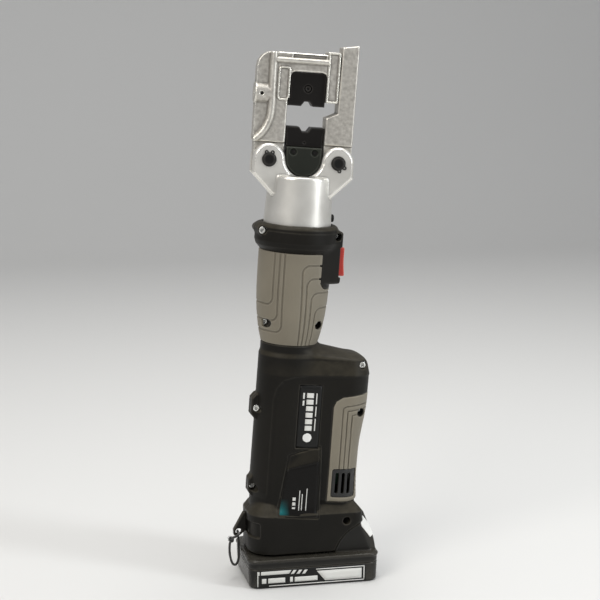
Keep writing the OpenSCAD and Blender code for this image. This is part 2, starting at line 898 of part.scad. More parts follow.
// Wound rotor on its shaft
module rotor() {
    stack_r = motor_r - motor_wall - 0.5;
    color("#9c5a33") on_axis() translate([0, 0, motor_low]) {
        translate([0, 0, 0.6]) cylinder(r = shaft_r, h = gear_low - motor_low - 0.6);
        translate([0, 0, bearing_h + 8]) cylinder(r = stack_r, h = motor_len - 2 * bearing_h - 18);
        translate([0, 0, bearing_h + 2]) cylinder(r = stack_r * 0.55, h = motor_len - 2 * bearing_h - 4);
    }
}
module sun_gear() {
    color("#8d8f92") on_axis() translate([0, 0, gear_low]) linear_extrude(height = gear_h)
        gear_outline(sun_teeth, 0.06, 0.8, 1.05);
}

// Planet gears, each with a tooth space towards the sun's tooth
module planet_gear(k) {
    color("#9b9da0") on_axis() rotate([0, 0, 120 * k]) translate([orbit, 0, gear_low]) difference() {
        linear_extrude(height = gear_h) rotate(180 + 180 / planet_teeth)
            gear_outline(planet_teeth, 0.06, 0.8, 1.05);
        translate([0, 0, -1]) cylinder(r = planet_pin_r + run, h = gear_h + 2);
    }
}
module planet_gear_1() { planet_gear(0); }
module planet_gear_2() { planet_gear(1); }
module planet_gear_3() { planet_gear(2); }

// Carrier disc with the planets' pins
module planet_carrier() {
    color("#84878a") on_axis() {
        translate([0, 0, carrier_low]) cylinder(r = orbit + 4.6, h = carrier_h);
        for (k = [0 : 2]) rotate([0, 0, 120 * k]) translate([orbit, 0, gear_low + gap])
            cylinder(r = planet_pin_r, h = carrier_low - gear_low);
    }
}

// Drive shaft with the pump's eccentric and its end stub
module eccentric_shaft() {
    color("#a3a6a9") on_axis() {
        translate([0, 0, carrier_top]) cylinder(r = drive_r, h = lobe_low - carrier_top);
        translate([throw, 0, lobe_low]) cylinder(r = lobe_r, h = lobe_h);
        translate([0, 0, lobe_top]) cylinder(r = stub_r, h = pump_well_top + stub_h - lobe_top);
    }
}
module eccentric_bearing() {
    color("#c4c6c9") on_axis() translate([throw, 0, lobe_low + 0.5])
        ring(lobe_r + lobe_ring, lobe_r, lobe_h - 1);
}

// Switch behind the trigger
module trigger_switch() {
    color("#2b2b2b") on_axis() translate([switch_reach - 6, -6, switch_low]) cube([6, 12, switch_h]);
}
module trigger_spring() {
    flange_in = housing_reach - wall - gap - trigger_flange_t;
    color("#7d7d80") on_axis() translate([pocket_floor, 0, trigger_low + trigger_h - 6])
        rotate([0, 90, 0]) coil(3, 0.5, flange_in - pocket_floor, 4);
}

// Trigger: the finger bar, the flange that keeps it in, and the nose that works the switch
module trigger() {
    flange_out = housing_reach - wall - gap;
    color("#c8402c") on_axis() {
        translate([flange_out - trigger_flange_t, -trigger_w / 2, trigger_low])
            cube([trigger_out - flange_out + trigger_flange_t, trigger_w, trigger_h]);
        translate([flange_out - trigger_flange_t, -trigger_w / 2 - trigger_flange_over,
            trigger_low - trigger_flange_over])
            cube([trigger_flange_t, trigger_w + 2 * trigger_flange_over,
                trigger_h + 2 * trigger_flange_over]);
        translate([switch_reach + trigger_travel + gap, -3, trigger_low])
            cube([flange_out - switch_reach - trigger_travel - gap, 6, 4]);
    }
}

// Control board in the body, flat against the posts of the far shell
module control_board() {
    color("#1f5a38") on_axis() {
        translate([board_left, board_y, board_low]) cube([board_l, board_t, board_h]);
        for (k = [0 : 2])
            cross_rod([board_left + board_l / 2, board_low + can_low + k * can_pitch],
                can_r, board_y - can_h, board_y);
        translate([board_left + (board_l - sink_l) / 2, board_y + board_t, board_low + sink_low])
            cube([sink_l, sink_t, sink_h]);
    }
}

// Blade contacts on the roof of the rail slot
module terminal_block() {
    color("#2a2a2a") {
        translate([blade_left - 2, BLADES[0] - 4, rail_roof])
            cube([blade_l + 4, BLADES[3] - BLADES[0] + 8, 8]);
        for (y = BLADES) translate([blade_left, y - blade_t / 2, foot_low + 2])
            cube([blade_l, blade_t, rail_roof - foot_low]);
    }
}

// Lug on the foot's end with the eye for the lanyard
module lanyard_lug() {
    color("#1d1d1a") difference() {
        slab(2 * lug_half) polygon([[foot_left, foot_top - 1], [foot_left - 2.4, foot_top - 1],
            [eye_place[0] - 5, eye_place[1] + 1], [eye_place[0] - 4, eye_place[1] - 4],
            [eye_place[0], eye_place[1] - 5], [foot_left, eye_place[1] + 1]]);
        cross_rod(eye_place, eye_r, -2 * lug_half, 2 * lug_half);
    }
}
module lanyard_cord() {
    color("#151515") translate([eye_place[0], 0, eye_place[1]])
        swept_tube(smooth_path(CORD_ROUTE, 3), cord_r, 8, [0, 0, 1]);
}

// Silver cylinder with the forked ears, the bore, the swivel spigot and its flange
module yoke_outline() {
    pin_x = pin_span / 2;
    difference() {
        union() {
            for (side = [-1, 1]) translate([side * pin_x, pin_level]) circle(r = ear_r);
            polygon([[-pin_x - ear_r, pin_level], [-pin_x - ear_r, pin_level - ear_drop],
                [-cone_r_top - 1, ear_foot_level], [cone_r_top + 1, ear_foot_level],
                [pin_x + ear_r, pin_level - ear_drop], [pin_x + ear_r, pin_level]]);
        }
        throat_outline();
    }
}
module throat_outline() {
    translate([0, throat_level]) circle(r = throat_r);
    translate([-throat_r, throat_level]) square([2 * throat_r, 3 * ear_r]);
}
module head_yoke() {
    edge = 2.5;
    color("#c9c7c1") on_head() difference() {
        union() {
            slab(yoke_t) yoke_outline();
            rotate_extrude() polygon([[0, spigot_low], [flange_r, spigot_low],
                [flange_r, spigot_low + flange_h], [spigot_r, spigot_low + flange_h],
                [spigot_r, cone_low], [cone_r_low + 0.5, cone_low],
                [cone_r_top, cone_top - edge], [cone_r_top - edge * 0.3, cone_top - edge * 0.3],
                [cone_r_top - edge, cone_top], [0, cone_top]]);
        }
        slab(ram_t + 2 * ram_room) throat_outline();
        translate([-big / 2, -slot_t / 2, slot_floor]) cube([big, slot_t, big]);
        translate([0, 0, bore_low]) cylinder(r = bore_r, h = bore_top - bore_low);
        translate([0, 0, bore_low]) cylinder(r = rod_r + run, h = big);
        translate([0, 0, wiper_low]) cylinder(r = wiper_r, h = throat_level - wiper_low);
        translate([0, 0, spigot_low - 1]) cylinder(r = pipe_r + run, h = bore_low - spigot_low + 2);
        for (side = [-1, 1]) cross_rod([side * pin_span / 2, pin_level], pin_r, -yoke_t, yoke_t);
        stop_place() cylinder(r = stop_r, h = stop_len);
    }
}

// Black stop screw in the side of the cylinder, just above the collar
module stop_place() {
    rotate([0, 0, 14]) translate([cone_r_low - stop_len - 0.2, 0, stop_level]) rotate([0, 90, 0]) children();
}
module stop_screw() {
    color("#1b1b1b") on_head() stop_place() difference() {
        union() {
            cylinder(r = stop_r, h = stop_len);
            translate([0, 0, stop_len]) cylinder(r = stop_head_r, h = stop_head_h);
        }
        translate([0, 0, stop_len + 1.4]) cylinder(r = 1.7, h = stop_head_h, $fn = 6);
    }
}

// Hinge pins with a groove for a circlip at each end
module hinge_pin(side) {
    end = yoke_t / 2 + pin_over;
    color("#b9b9b6") on_head() translate([side * pin_span / 2, 0, pin_level]) rotate([90, 0, 0])
    difference() {
        translate([0, 0, -end]) cylinder(r = pin_r, h = 2 * end);
        for (z = [yoke_t / 2 + 0.2, -yoke_t / 2 - 0.2 - clip_t])
            translate([0, 0, z]) ring(pin_r + 1, pin_r - 0.9, clip_t);
    }
}
module frame_pin() { hinge_pin(-1); }
module latch_pin() { hinge_pin(1); }

// Circlips in the grooves, each with two lugs with plier holes
module circlip(turn) {
    rotate([0, 0, turn]) difference() {
        union() {
            cylinder(r = pin_r + 1.2, h = clip_t);
            translate([-3.6, 0, 0]) cube([7.2, pin_r + 3.4, clip_t]);
        }
        translate([0, 0, -1]) cylinder(r = pin_r - 0.9, h = clip_t + 2);
        translate([-0.5, 0, -1]) cube([1, 2 * pin_r, clip_t + 2]);
        for (x = [-2, 2]) translate([x, pin_r + 1.6, -1]) cylinder(r = 0.8, h = clip_t + 2);
    }
}
module pin_circlips() {
    color("#171717") on_head() for (side = [-1, 1]) for (z = [yoke_t / 2 + 0.2, -yoke_t / 2 - 0.2 - clip_t])
        translate([side * pin_span / 2, 0, pin_level]) rotate([90, 0, 0]) translate([0, 0, z])
            circlip(side < 0 ? 0 : 215);
}

// Wiper ring round the ram's rod
module rod_wiper() {
    color("#111111") on_head() translate([0, 0, wiper_low]) ring(wiper_r, rod_r + run, wiper_h - gap);
}
module ram_return_spring() {
    low = piston_low + piston_h;
    color("#808285") on_head() translate([0, 0, low]) coil((bore_r + rod_r) / 2, 1.3, bore_top - low, 7);
}

// Spring coil beside the latch's tongue that closes the latch
module latch_spring() {
    color("#7d7d80") on_head() translate([pin_span / 2, tongue_t / 2, pin_level]) rotate([90, 0, 0])
        coil(pin_r + 1.4, 0.5, spring_room - gap, 2);
}

// Hinge tongue in the yoke's slot
module tongue_outline(side, outer) {
    pin_x = pin_span / 2;
    root = limb_low + 4;
    translate([side * pin_x, pin_level]) circle(r = tongue_r);
    polygon([[side * (pin_x - tongue_r), pin_level], [side * limb_in, root], [side * outer, root],
        [side * min(outer, pin_x + tongue_r), pin_level]]);
}

// Swing frame: left limb, top bar and the short right limb, in one forging
module frame_outline() {
    square_h = bar_top - frame_corner;
    translate([-frame_reach, limb_low]) square([frame_reach - limb_in, square_h - limb_low]);
    translate([-limb_in - 1, upper_low + die_foot_h + gap])
        square([limb_in - limb_pad + 1, bar_low - upper_low]);
    translate([-frame_reach + frame_corner, square_h]) circle(r = frame_corner);
    translate([-frame_reach + frame_corner, bar_low])
        square([right_limb_out + frame_reach - frame_corner, bar_h]);
    translate([limb_pad, upper_low + 4]) square([right_limb_w, bar_top + 2.5 - upper_low - 4]);
    translate([-frame_reach, bar_low]) square([frame_corner, square_h - bar_low]);
}
module swing_frame() {
    rib_t = 1.6;
    color("#bdbab2") on_head() difference() {
        union() {
            slab(frame_t) frame_outline();
            slab(tongue_t) tongue_outline(-1, frame_reach - 1);
            side_rod(lock_level, lock_boss_r, -frame_reach, -limb_pad - 10);
            slab(frame_t + 2 * rib_t) translate([-frame_reach + frame_corner - 2, lock_level])
                square([4, bar_top - lock_level]);
            slab(frame_t + 2 * rib_t) translate([-frame_reach + frame_corner - 2, bar_low + 5])
                square([right_limb_out + frame_reach - frame_corner, 4]);
        }
        cross_rod([-pin_span / 2, pin_level], pin_r + run, -frame_t, frame_t);
        side_rod(lock_level, lock_r + run, -frame_reach - 1, 0);
        side_rod(lock_level, lock_spring_r + run, -frame_reach + 5, -limb_pad - 6);
    }
}

// Spring plunger that holds the upper die in the frame
module die_lock_plunger() {
    color("#a8a8a6") on_head() {
        side_rod(lock_level, lock_r, -frame_reach + 0.5 + lock_travel, -die_half + lock_depth);
        side_rod(lock_level, lock_spring_r, -limb_pad - 8, -limb_pad - 6 - gap);
    }
}
module die_lock_spring() {
    low = -frame_reach + 5;
    color("#808285") on_head() translate([low, 0, lock_level]) rotate([0, 90, 0])
        coil(lock_r + 0.85, 0.6, -limb_pad - 8 - low, 6);
}

// Crimping dies with half a hexagon in each parting face
module die_notch() {
    polygon([[-5.2, -1], [-5.2, 0], [-2.4, 4], [2.4, 4], [5.2, 0], [5.2, -1]]);
}
module upper_die() {
    corner = 4;
    top = upper_low + upper_die_h;
    color("#191919") on_head() difference() {
        slab(die_t) difference() {
            union() {
                translate([-die_half, upper_low]) square([die_w, upper_die_h - corner]);
                translate([-die_half + corner, upper_low]) square([die_w - 2 * corner, upper_die_h]);
                for (x = [-1, 1]) translate([x * (die_half - corner), top - corner]) circle(r = corner);
                translate([-die_half - die_foot, upper_low]) square([die_w + die_foot, die_foot_h]);
            }
            translate([0, upper_low]) die_notch();
        }
        side_rod(lock_level, lock_r + 0.1, -die_half - 1, -die_half + lock_depth + gap);
        cross_rod([0, upper_low + 15], 2.2, -die_t, die_t);
    }
}
module lower_die() {
    color("#191919") on_head() slab(die_t) difference() {
        union() {
            translate([-die_half + 0.8, ram_top + run]) square([die_w - 1.6, lower_die_h - run]);
            translate([-die_half - die_foot, lower_top - die_foot_h])
                square([die_w + 2 * die_foot, die_foot_h]);
        }
        translate([0, lower_top]) mirror([0, 1]) die_notch();
    }
}

// Latch arm that closes over the frame's free end
module latch_outline() {
    tab = bar_top + 7;
    polygon([[limb_in, limb_low], [latch_reach, limb_low], [latch_reach, tab], [latch_in + 0.6, tab - 2],
        [latch_in, latch_step + 4.5], [latch_in - 4, latch_step + 2.5], [limb_in, latch_step]]);
}
module latch_arm() {
    color("#bfbcb5") on_head() difference() {
        union() {
            slab(frame_t) latch_outline();
            slab(tongue_t) tongue_outline(1, latch_reach);
        }
        cross_rod([pin_span / 2, pin_level], pin_r + run, -frame_t, frame_t);
        cross_rod([pin_span / 2, pin_level], pin_r + 2.6, tongue_t / 2 - spring_room, frame_t);
    }
}

// Ram: piston, rod and the round-footed head that carries the lower die
module ram() {
    color("#3a3b36") on_head() difference() {
        union() {
            translate([0, 0, piston_low]) cylinder(r = bore_r - run, h = piston_h);
            translate([0, 0, piston_low]) cylinder(r = rod_r, h = throat_level - piston_low);
            slab(ram_t) difference() {
                union() {
                    translate([0, throat_level]) circle(r = ram_half);
                    translate([-ram_half, throat_level]) square([2 * ram_half, ram_top - throat_level]);
                }
                translate([-bore_r, ram_top]) square([2 * bore_r, 2 * bore_r]);
            }
        }
        translate([0, 0, piston_low + (piston_h - seal_h) / 2]) ring(bore_r + 1, bore_r - 2.6, seal_h);
        for (x = [-1, 1]) cross_rod([x * dowel_x, ram_top - 4.5], dowel_r, -ram_t, ram_t);
    }
}
module ram_seal() {
    color("#0f0f0f") on_head() translate([0, 0, piston_low + (piston_h - seal_h) / 2])
        ring(bore_r - run, bore_r - 2.6, seal_h);
}
module die_dowels() {
    color("#121212") on_head() for (x = [-1, 1])
        cross_rod([x * dowel_x, ram_top - 4.5], dowel_r, -ram_t / 2 + 0.8, ram_t / 2 - 0.8);
}

// Rounded rectangle seen from above
module round_plan(l, w, r) {
    square([l - 2 * r, w], center = true);
    square([l, w - 2 * r], center = true);
    for (x = [-1, 1]) for (y = [-1, 1]) translate([x * (l / 2 - r), y * (w / 2 - r)]) circle(r = r);
}
module battery_hollow(low, high) {
    translate([0, 0, low]) linear_extrude(height = high - low)
        round_plan(battery_l - 2 * battery_wall, battery_w - 2 * battery_wall, battery_corner - battery_wall);
}

// Lower tray of the battery
module battery_case() {
    color("#22221d") difference() {
        linear_extrude(height = tray_h) round_plan(battery_l, battery_w, battery_corner);
        battery_hollow(battery_wall, tray_h + 1);
    }
}

// Upper half of the battery: rim, rail block and the sloped nose
module button_space() {
    back = battery_l / 2 - button_room;
    low = tray_h + 1.3 - gap;
    half_y = button_half + gap;
    translate([back, -half_y - button_over, low])
        cube([button_travel + button_flange + 2 * gap, 2 * (half_y + button_over), button_h + 2 * gap]);
    translate([back, -half_y, low]) cube([2 * button_room, 2 * half_y, button_h + 2 * gap]);
}
module battery_cover() {
    end = battery_l / 2;
    color("#26261f") difference() {
        union() {
            translate([0, 0, tray_h]) linear_extrude(height = battery_h - tray_h)
                round_plan(battery_l, battery_w, battery_corner);
            translate([rail_left, -rail_half, battery_h]) cube([rail_right - rail_left, 2 * rail_half,
                foot_low + rail_h - battery_h]);
            intersection() {
                cross_rod(seam_centre, seam_r - 0.4, -hump_half, hump_half);
                slab(2 * hump_half) polygon([[0, battery_h], [end, battery_h], [end, nose_low],
                    [nose_top_x, hump_top], [0, hump_top]]);
            }
        }
        difference() {
            battery_hollow(tray_h - 1, battery_h - battery_wall);
            translate([end - button_block, -button_half - 6, tray_h - 2])
                cube([20, 2 * (button_half + 6), battery_h]);
        }
        for (y = BLADES) translate([rail_left - 1, y - 1.2, foot_low + 1])
            cube([blade_left + blade_l + 1.5 - rail_left, 2.4, rail_h]);
        button_space();
    }
}

// Row of cells lying across the tray
module battery_cells() {
    color("#3f7f8f") for (k = [0 : cell_count - 1])
        translate([(k - (cell_count - 1) / 2) * cell_pitch + cell_mid, -cell_l / 2,
            battery_wall + gap + cell_d / 2])
            rotate([-90, 0, 0]) cylinder(r = cell_d / 2, h = cell_l);
}

// Contact springs at the bottom of the rail's slits
module battery_terminals() {
    color("#b98a3e") for (y = BLADES) translate([blade_left, y - 1.2, foot_low + 1])
        cube([blade_l, 2.4, 0.8]);
}

// Button on the battery's end that lets it off the rail
module release_button() {
    back = battery_l / 2 - button_room + button_travel + gap;
    color("#1a1a1a") {
        translate([back, -button_half, tray_h + 1.3])
            cube([battery_l / 2 + button_proud - back, 2 * button_half, button_h]);
        translate([back, -button_half - button_over, tray_h + 1.3])
            cube([button_flange, 2 * (button_half + button_over), button_h]);
    }
}

near_shell();
far_shell();
near_grip();
far_grip();
near_pad();
far_pad();
vent_grilles();
label_plates();
shell_screws();
swivel_ring();
pump_block();
pump_plunger();
plunger_spring();
pressure_pipe();
relief_valve();
return_valve();
oil_bladder();
gearbox_cover();
ring_gear();
shaft_bearing();
motor_can();
motor_bearings();
trigger_switch();
trigger_spring();
control_board();
terminal_block();
lanyard_lug();
lanyard_cord();
trigger();
rotor();
sun_gear();
planet_gear_1();
planet_gear_2();
planet_gear_3();
planet_carrier();
eccentric_shaft();
eccentric_bearing();
head_yoke();
frame_pin();
latch_pin();
pin_circlips();
rod_wiper();
ram_return_spring();
stop_screw();
latch_spring();
swing_frame();
upper_die();
die_lock_plunger();
die_lock_spring();
latch_arm();
ram();
ram_seal();
lower_die();
die_dowels();
battery_case();
battery_cover();
battery_cells();
battery_terminals();
release_button();
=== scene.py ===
import functools
import math
import bpy
import numpy as np
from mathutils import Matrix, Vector


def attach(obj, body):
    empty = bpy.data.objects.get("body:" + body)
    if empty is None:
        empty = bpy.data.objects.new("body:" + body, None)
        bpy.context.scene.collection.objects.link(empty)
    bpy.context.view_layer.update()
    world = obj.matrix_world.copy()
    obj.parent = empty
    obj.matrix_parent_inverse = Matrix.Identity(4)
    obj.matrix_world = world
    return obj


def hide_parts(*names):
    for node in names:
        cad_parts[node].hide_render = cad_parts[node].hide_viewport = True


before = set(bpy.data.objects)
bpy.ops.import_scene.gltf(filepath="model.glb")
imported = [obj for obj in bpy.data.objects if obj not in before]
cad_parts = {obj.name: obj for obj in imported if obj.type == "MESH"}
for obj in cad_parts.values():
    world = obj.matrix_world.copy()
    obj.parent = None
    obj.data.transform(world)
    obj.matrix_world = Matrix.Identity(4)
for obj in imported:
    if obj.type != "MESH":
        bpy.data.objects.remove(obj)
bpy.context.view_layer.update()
scene = bpy.context.scene


# Camera: the photograph is taken from a standing height a little to the left of the tool,
# with the lens level across and tipped slightly down.
TURN = math.radians(12.2)
TIP = math.radians(9.58)


def link(name, data):
    """Puts a mesh, lamp or lens into the scene as an object."""
    obj = bpy.data.objects.new(name, data)
    scene.collection.objects.link(obj)
    return obj


def aim(obj, sight):
    """Turns a camera or lamp to look along a direction."""
    obj.rotation_euler = sight.to_track_quat("-Z", "Y").to_euler()


lens = bpy.data.cameras.new("camera")
lens.lens = 96
lens.sensor_width = 36
camera = link("camera", lens)
camera.location = (-0.3010, -1.3663, 0.4880)
aim(camera, Vector((math.sin(TURN) * math.cos(TIP), math.cos(TURN) * math.cos(TIP), -math.sin(TIP))))
scene.camera = camera


# Studio: a pale seamless floor that curves up into a backdrop, lit by one wide soft box on the left, a tall
# narrow one on the right for the sheen on the steel, one overhead, and an even pale surround.
FLOOR_SIDE = 5.0
COVE_START = 2.0
COVE = 1.2
scene.view_settings.view_transform = "Standard"


def paint(obj, material):
    """Gives every slot of a piece one material."""
    if not obj.data.materials:
        obj.data.materials.append(material)
    for i in range(len(obj.data.materials)):
        obj.data.materials[i] = material


def new_material(name):
    """A node material with its shader, ready for its own nodes."""
    material = bpy.data.materials.new(name)
    material.use_nodes = True
    nodes = material.node_tree.nodes
    return material, nodes, material.node_tree.links, nodes["Principled BSDF"]


def mesh_piece(name, points, faces, smooth):
    """Object from points and faces, with each face marked smooth or flat."""
    mesh = bpy.data.meshes.new(name)
    mesh.from_pydata(points, [], faces)
    mesh.polygons.foreach_set("use_smooth", smooth)
    return link(name, mesh)


def tone_ramp(nodes, links, source, dark, light, low=0.0, high=1.0):
    """Ramp from a dark to a light tone, driven by a socket; returns its colour."""
    ramp = nodes.new("ShaderNodeValToRGB")
    for stop, place, tone in zip(ramp.color_ramp.elements, (low, high), (dark, light)):
        stop.position = place
        stop.color = (*tone, 1)
    links.new(source, ramp.inputs["Fac"])
    return ramp.outputs["Color"]


cove_turn = np.linspace(0, math.pi / 2, 25)
cove_line = [(-4.0, 0.0)]
cove_line += [(COVE_START + COVE * math.sin(a), COVE - COVE * math.cos(a)) for a in cove_turn]
cove_line += [(COVE_START + COVE, 4.5)]
floor_points = [(x, y, z) for y, z in cove_line for x in (-FLOOR_SIDE, FLOOR_SIDE)]
floor_faces = [(2 * i, 2 * i + 1, 2 * i + 3, 2 * i + 2) for i in range(len(cove_line) - 1)]
floor = mesh_piece("floor", floor_points, floor_faces, [True] * len(floor_faces))
pale_floor, nodes, links, shade = new_material("pale_floor")
shade.inputs["Roughness"].default_value = 0.85
speck = nodes.new("ShaderNodeTexNoise")
speck.inputs["Scale"].default_value = 3.0
floor_tone = tone_ramp(nodes, links, speck.outputs["Fac"], (0.64, 0.64, 0.63), (0.70, 0.70, 0.69))
links.new(floor_tone, shade.inputs["Base Color"])
paint(floor, pale_floor)

surround = bpy.data.worlds.new("surround")
scene.world = surround
surround.use_nodes = True
surround.node_tree.nodes["Background"].inputs["Color"].default_value = (0.86, 0.87, 0.9, 1)
surround.node_tree.nodes["Background"].inputs["Strength"].default_value = 0.39


def soft_box(name, place, target, width, height, watts, tint):
    """Area lamp at a place, turned towards a point."""
    lamp = bpy.data.lights.new(name, "AREA")
    lamp.shape = "RECTANGLE"
    lamp.size = width
    lamp.size_y = height
    lamp.energy = watts
    lamp.color = tint
    obj = link(name, lamp)
    obj.location = place
    aim(obj, Vector(target) - Vector(place))


soft_box("left_box", (-1.5, -1.3, 1.7), (0, 0, 0.25), 1.2, 1.2, 26, (1.0, 0.96, 0.9))
soft_box("right_strip", (1.3, -0.9, 0.9), (0, 0, 0.3), 0.3, 1.3, 14, (0.95, 0.98, 1.0))
soft_box("top_box", (0.1, 0.2, 1.9), (0, 0, 0.3), 1.4, 1.4, 26, (1.0, 0.99, 0.97))


# Lanyard: a thin braided black cord, limp and a little fuzzy, looped through the lug on the foot
# and closed with a knot whose two ends are frayed.
CORD = [(-69, -3, 37.5), (-67.8, -6, 39.4), (-65.4, -7.8, 41), (-63.3, -6.4, 41.8), (-62.5, -3.5, 41.9),
        (-62.5, 0, 41.9), (-62.5, 3.5, 41.9), (-62.1, 6.2, 41.3), (-61.5, 7.7, 38.8), (-61.2, 7.4, 35),
        (-61.2, 6.2, 30), (-61.2, 5, 24), (-61.6, 3.6, 17.5), (-63.2, 2.2, 12.8), (-65.8, 1, 11.4),
        (-68.3, 0, 14), (-70, -0.8, 19.5), (-70.8, -1.4, 26), (-70.6, -1.9, 32), (-69.6, -2.3, 35.6)]
CORD_RADIUS = 1.1
FRAYS = [(-2.6, -1.2, 3.4), (-3.6, 0.4, 1.4), (-3.2, -2.0, -0.6), (-1.6, -2.6, 4.2)]
FRAY_ROOT = (-69.8, -3.0, 37.0)
FRAY_CURL = (0.6, -0.8, 0.9)
MM = 0.001


def smooth_line(points, n):
    """Catmull-Rom line through points, n steps to a stretch."""
    p = np.array([points[0]] + list(points) + [points[-1]], float)
    t = np.linspace(0, 1, n, endpoint=False)[:, None]
    out = [0.5 * (2 * p[i] + (p[i + 1] - p[i - 1]) * t
                  + (2 * p[i - 1] - 5 * p[i] + 4 * p[i + 1] - p[i + 2]) * t ** 2
                  + (3 * p[i] - p[i - 1] - 3 * p[i + 1] + p[i + 2]) * t ** 3)
           for i in range(1, len(p) - 2)]
    return np.vstack(out + [p[-1:]])


def tube_mesh(name, line, radius, sides):
    """Closed tube along a line in mm; radius may change from point to point."""
    line = np.asarray(line, float)
    radius = np.broadcast_to(radius, len(line))
    along = np.gradient(line, axis=0)
    along /= np.linalg.norm(along, axis=1)[:, None]
    side = np.cross(along[0], (0.3, 0.2, 0.93))
    rings = []
    for p, t, r in zip(line, along, radius):
        side = side - t * (side @ t)
        side /= np.linalg.norm(side)
        other = np.cross(t, side)
        rings.append([p + r * (math.cos(a) * side + math.sin(a) * other)
                      for a in np.arange(sides) * 2 * math.pi / sides])
    faces = []
    for start in range(0, (len(line) - 1) * sides, sides):
        for k in range(sides):
            after = (k + 1) % sides
            faces.append((start + k, start + after, start + sides + after, start + sides + k))
    last = (len(line) - 1) * sides
    faces += [tuple(range(sides))[::-1], tuple(last + k for k in range(sides))]
    return mesh_piece(name, [tuple(v * MM) for v in np.vstack(rings)], faces, [True] * len(faces))


def add_bump(nodes, links, shade, height, strength, distance):
    """Bump from a height socket on a shader's normal."""
    lift = nodes.new("ShaderNodeBump")
    lift.inputs["Strength"].default_value = strength
    lift.inputs["Distance"].default_value = distance
    links.new(height, lift.inputs["Height"])
    links.new(lift.outputs["Normal"], shade.inputs["Normal"])


def fit(piece, material, body, node=None):
    """Paints a piece, sets it on its body and slot, and lets it stand for a CAD node."""
    paint(piece, material)
    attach(piece, body)
    if node:
        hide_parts(node)
    return piece


woven_black, nodes, links, shade = new_material("woven_black")
shade.inputs["Roughness"].default_value = 0.9
shade.inputs["Sheen Weight"].default_value = 0.6
place = nodes.new("ShaderNodeTexCoord")
braid = nodes.new("ShaderNodeTexWave")
braid.wave_type = "BANDS"
braid.bands_direction = "DIAGONAL"
braid.inputs["Scale"].default_value = 420
braid.inputs["Distortion"].default_value = 3.0
links.new(place.outputs["Object"], braid.inputs["Vector"])
braid_tone = tone_ramp(nodes, links, braid.outputs["Fac"], (0.004, 0.004, 0.004), (0.028, 0.027, 0.026))
links.new(braid_tone, shade.inputs["Base Color"])
add_bump(nodes, links, shade, braid.outputs["Fac"], 0.8, 0.0003)

cord_line = smooth_line(CORD, 6)
lanyard = tube_mesh("lanyard", cord_line, CORD_RADIUS, 12)
fit(lanyard, woven_black, "handle", "lanyard_cord")
knot_turn = np.linspace(0, 4 * math.pi, 60)
knot_line = np.c_[-69.4 + 1.5 * np.cos(knot_turn), -2.8 + 1.3 * np.sin(knot_turn * 1.5),
                  36.6 + 1.6 * np.sin(knot_turn)]
knot = fit(tube_mesh("lanyard_knot", knot_line, 1.05, 10), woven_black, "handle")
for k, reach in enumerate(FRAYS):
    t = np.linspace(0, 1, 8)[:, None]
    line = np.array(FRAY_ROOT) + t * np.array(reach) + t * (1 - t) * np.array(FRAY_CURL)
    fray = tube_mesh(f"lanyard_fray_{k + 1}", line, np.linspace(0.5, 0.12, 8), 6)
    fit(fray, woven_black, "handle")


# Half shells: two glass-filled nylon mouldings, black with a fine spark texture, screwed together on the
# plane of the tool. They hold the pump and motor, and carry the collar, the trigger housing and the foot.
LEAN = math.radians(4.25)
AXIS_X = -32.0
SIDES = (("near", -1), ("far", 1))


def row_places(p):
    """Row frame X and Z, in mm, of points along the leaning tool axis."""
    u, y, w = p.T
    return AXIS_X + u * math.cos(LEAN) + w * math.sin(LEAN), w * math.cos(LEAN) - u * math.sin(LEAN)


def tool_to_row(p):
    """Points in mm along the leaning tool axis to metres in the row frame."""
    x, z = row_places(p)
    return np.c_[x, p[:, 1], z] * MM


def join(*shapes):
    """Union of distances."""
    return functools.reduce(np.minimum, shapes)


def within(*shapes):
    """What lies inside all of several distances."""
    return functools.reduce(np.maximum, shapes)


def without(shape, *holes):
    """A distance with others cut out of it."""
    return np.maximum(shape, -join(*holes))


def soft_join(a, b, k):
    """Union of two distances with a fillet of about k."""
    h = np.clip(0.5 + 0.5 * (b - a) / k, 0, 1)
    return b + (a - b) * h - k * h * (1 - h)


def soft_cut(a, b, k):
    """Intersection of two distances with an edge rounded by about k."""
    return -soft_join(-a, -b, k)


def outline(points, x, z):
    """Signed distance to a closed outline."""
    p = np.array(points, float)
    best = np.full(x.shape, 1e9)
    inside = np.zeros(x.shape, bool)
    for (ax, az), (bx, bz) in zip(p, np.roll(p, -1, axis=0)):
        ex, ez = bx - ax, bz - az
        dx, dz = x - ax, z - az
        t = np.clip((dx * ex + dz * ez) / (ex * ex + ez * ez), 0, 1)
        best = np.minimum(best, (dx - ex * t) ** 2 + (dz - ez * t) ** 2)
        cross = (az > z) != (bz > z)
        if ez != 0:
            inside ^= cross & (x < ax + ex * (z - az) / ez)
    return np.where(inside, -1, 1) * np.sqrt(best)


def slab(flat, across, half, edge):
    """Distance to a flat outline made half thick each way, with its edges rounded."""
    a, b = flat + edge, np.abs(across) - half + edge
    return np.minimum(np.maximum(a, b), 0) + np.hypot(np.maximum(a, 0), np.maximum(b, 0)) - edge


def rounded(q, edge):
    """Distance to a box from its distances to each face, taken from inside the rounding of its edges."""
    return np.minimum(q.max(1), 0) + np.linalg.norm(np.maximum(q, 0), axis=1) - edge


def bar(p, centre, half, edge):
    """Distance to a box with rounded edges."""
    return rounded(np.abs(p - np.array(centre)) - np.array(half) + edge, edge)


def plate_box(u, w, centre, half, corner):
    """Distance to a flat rectangle with rounded corners."""
    across = np.abs(u - centre[0]) - half[0] + corner
    return rounded(np.stack([across, np.abs(w - centre[1]) - half[1] + corner], 1), corner)


def rectangle(low_u, high_u, low_w, high_w):
    """Corners of an upright rectangle."""
    return [(low_u, low_w), (high_u, low_w), (high_u, high_w), (low_u, high_w)]


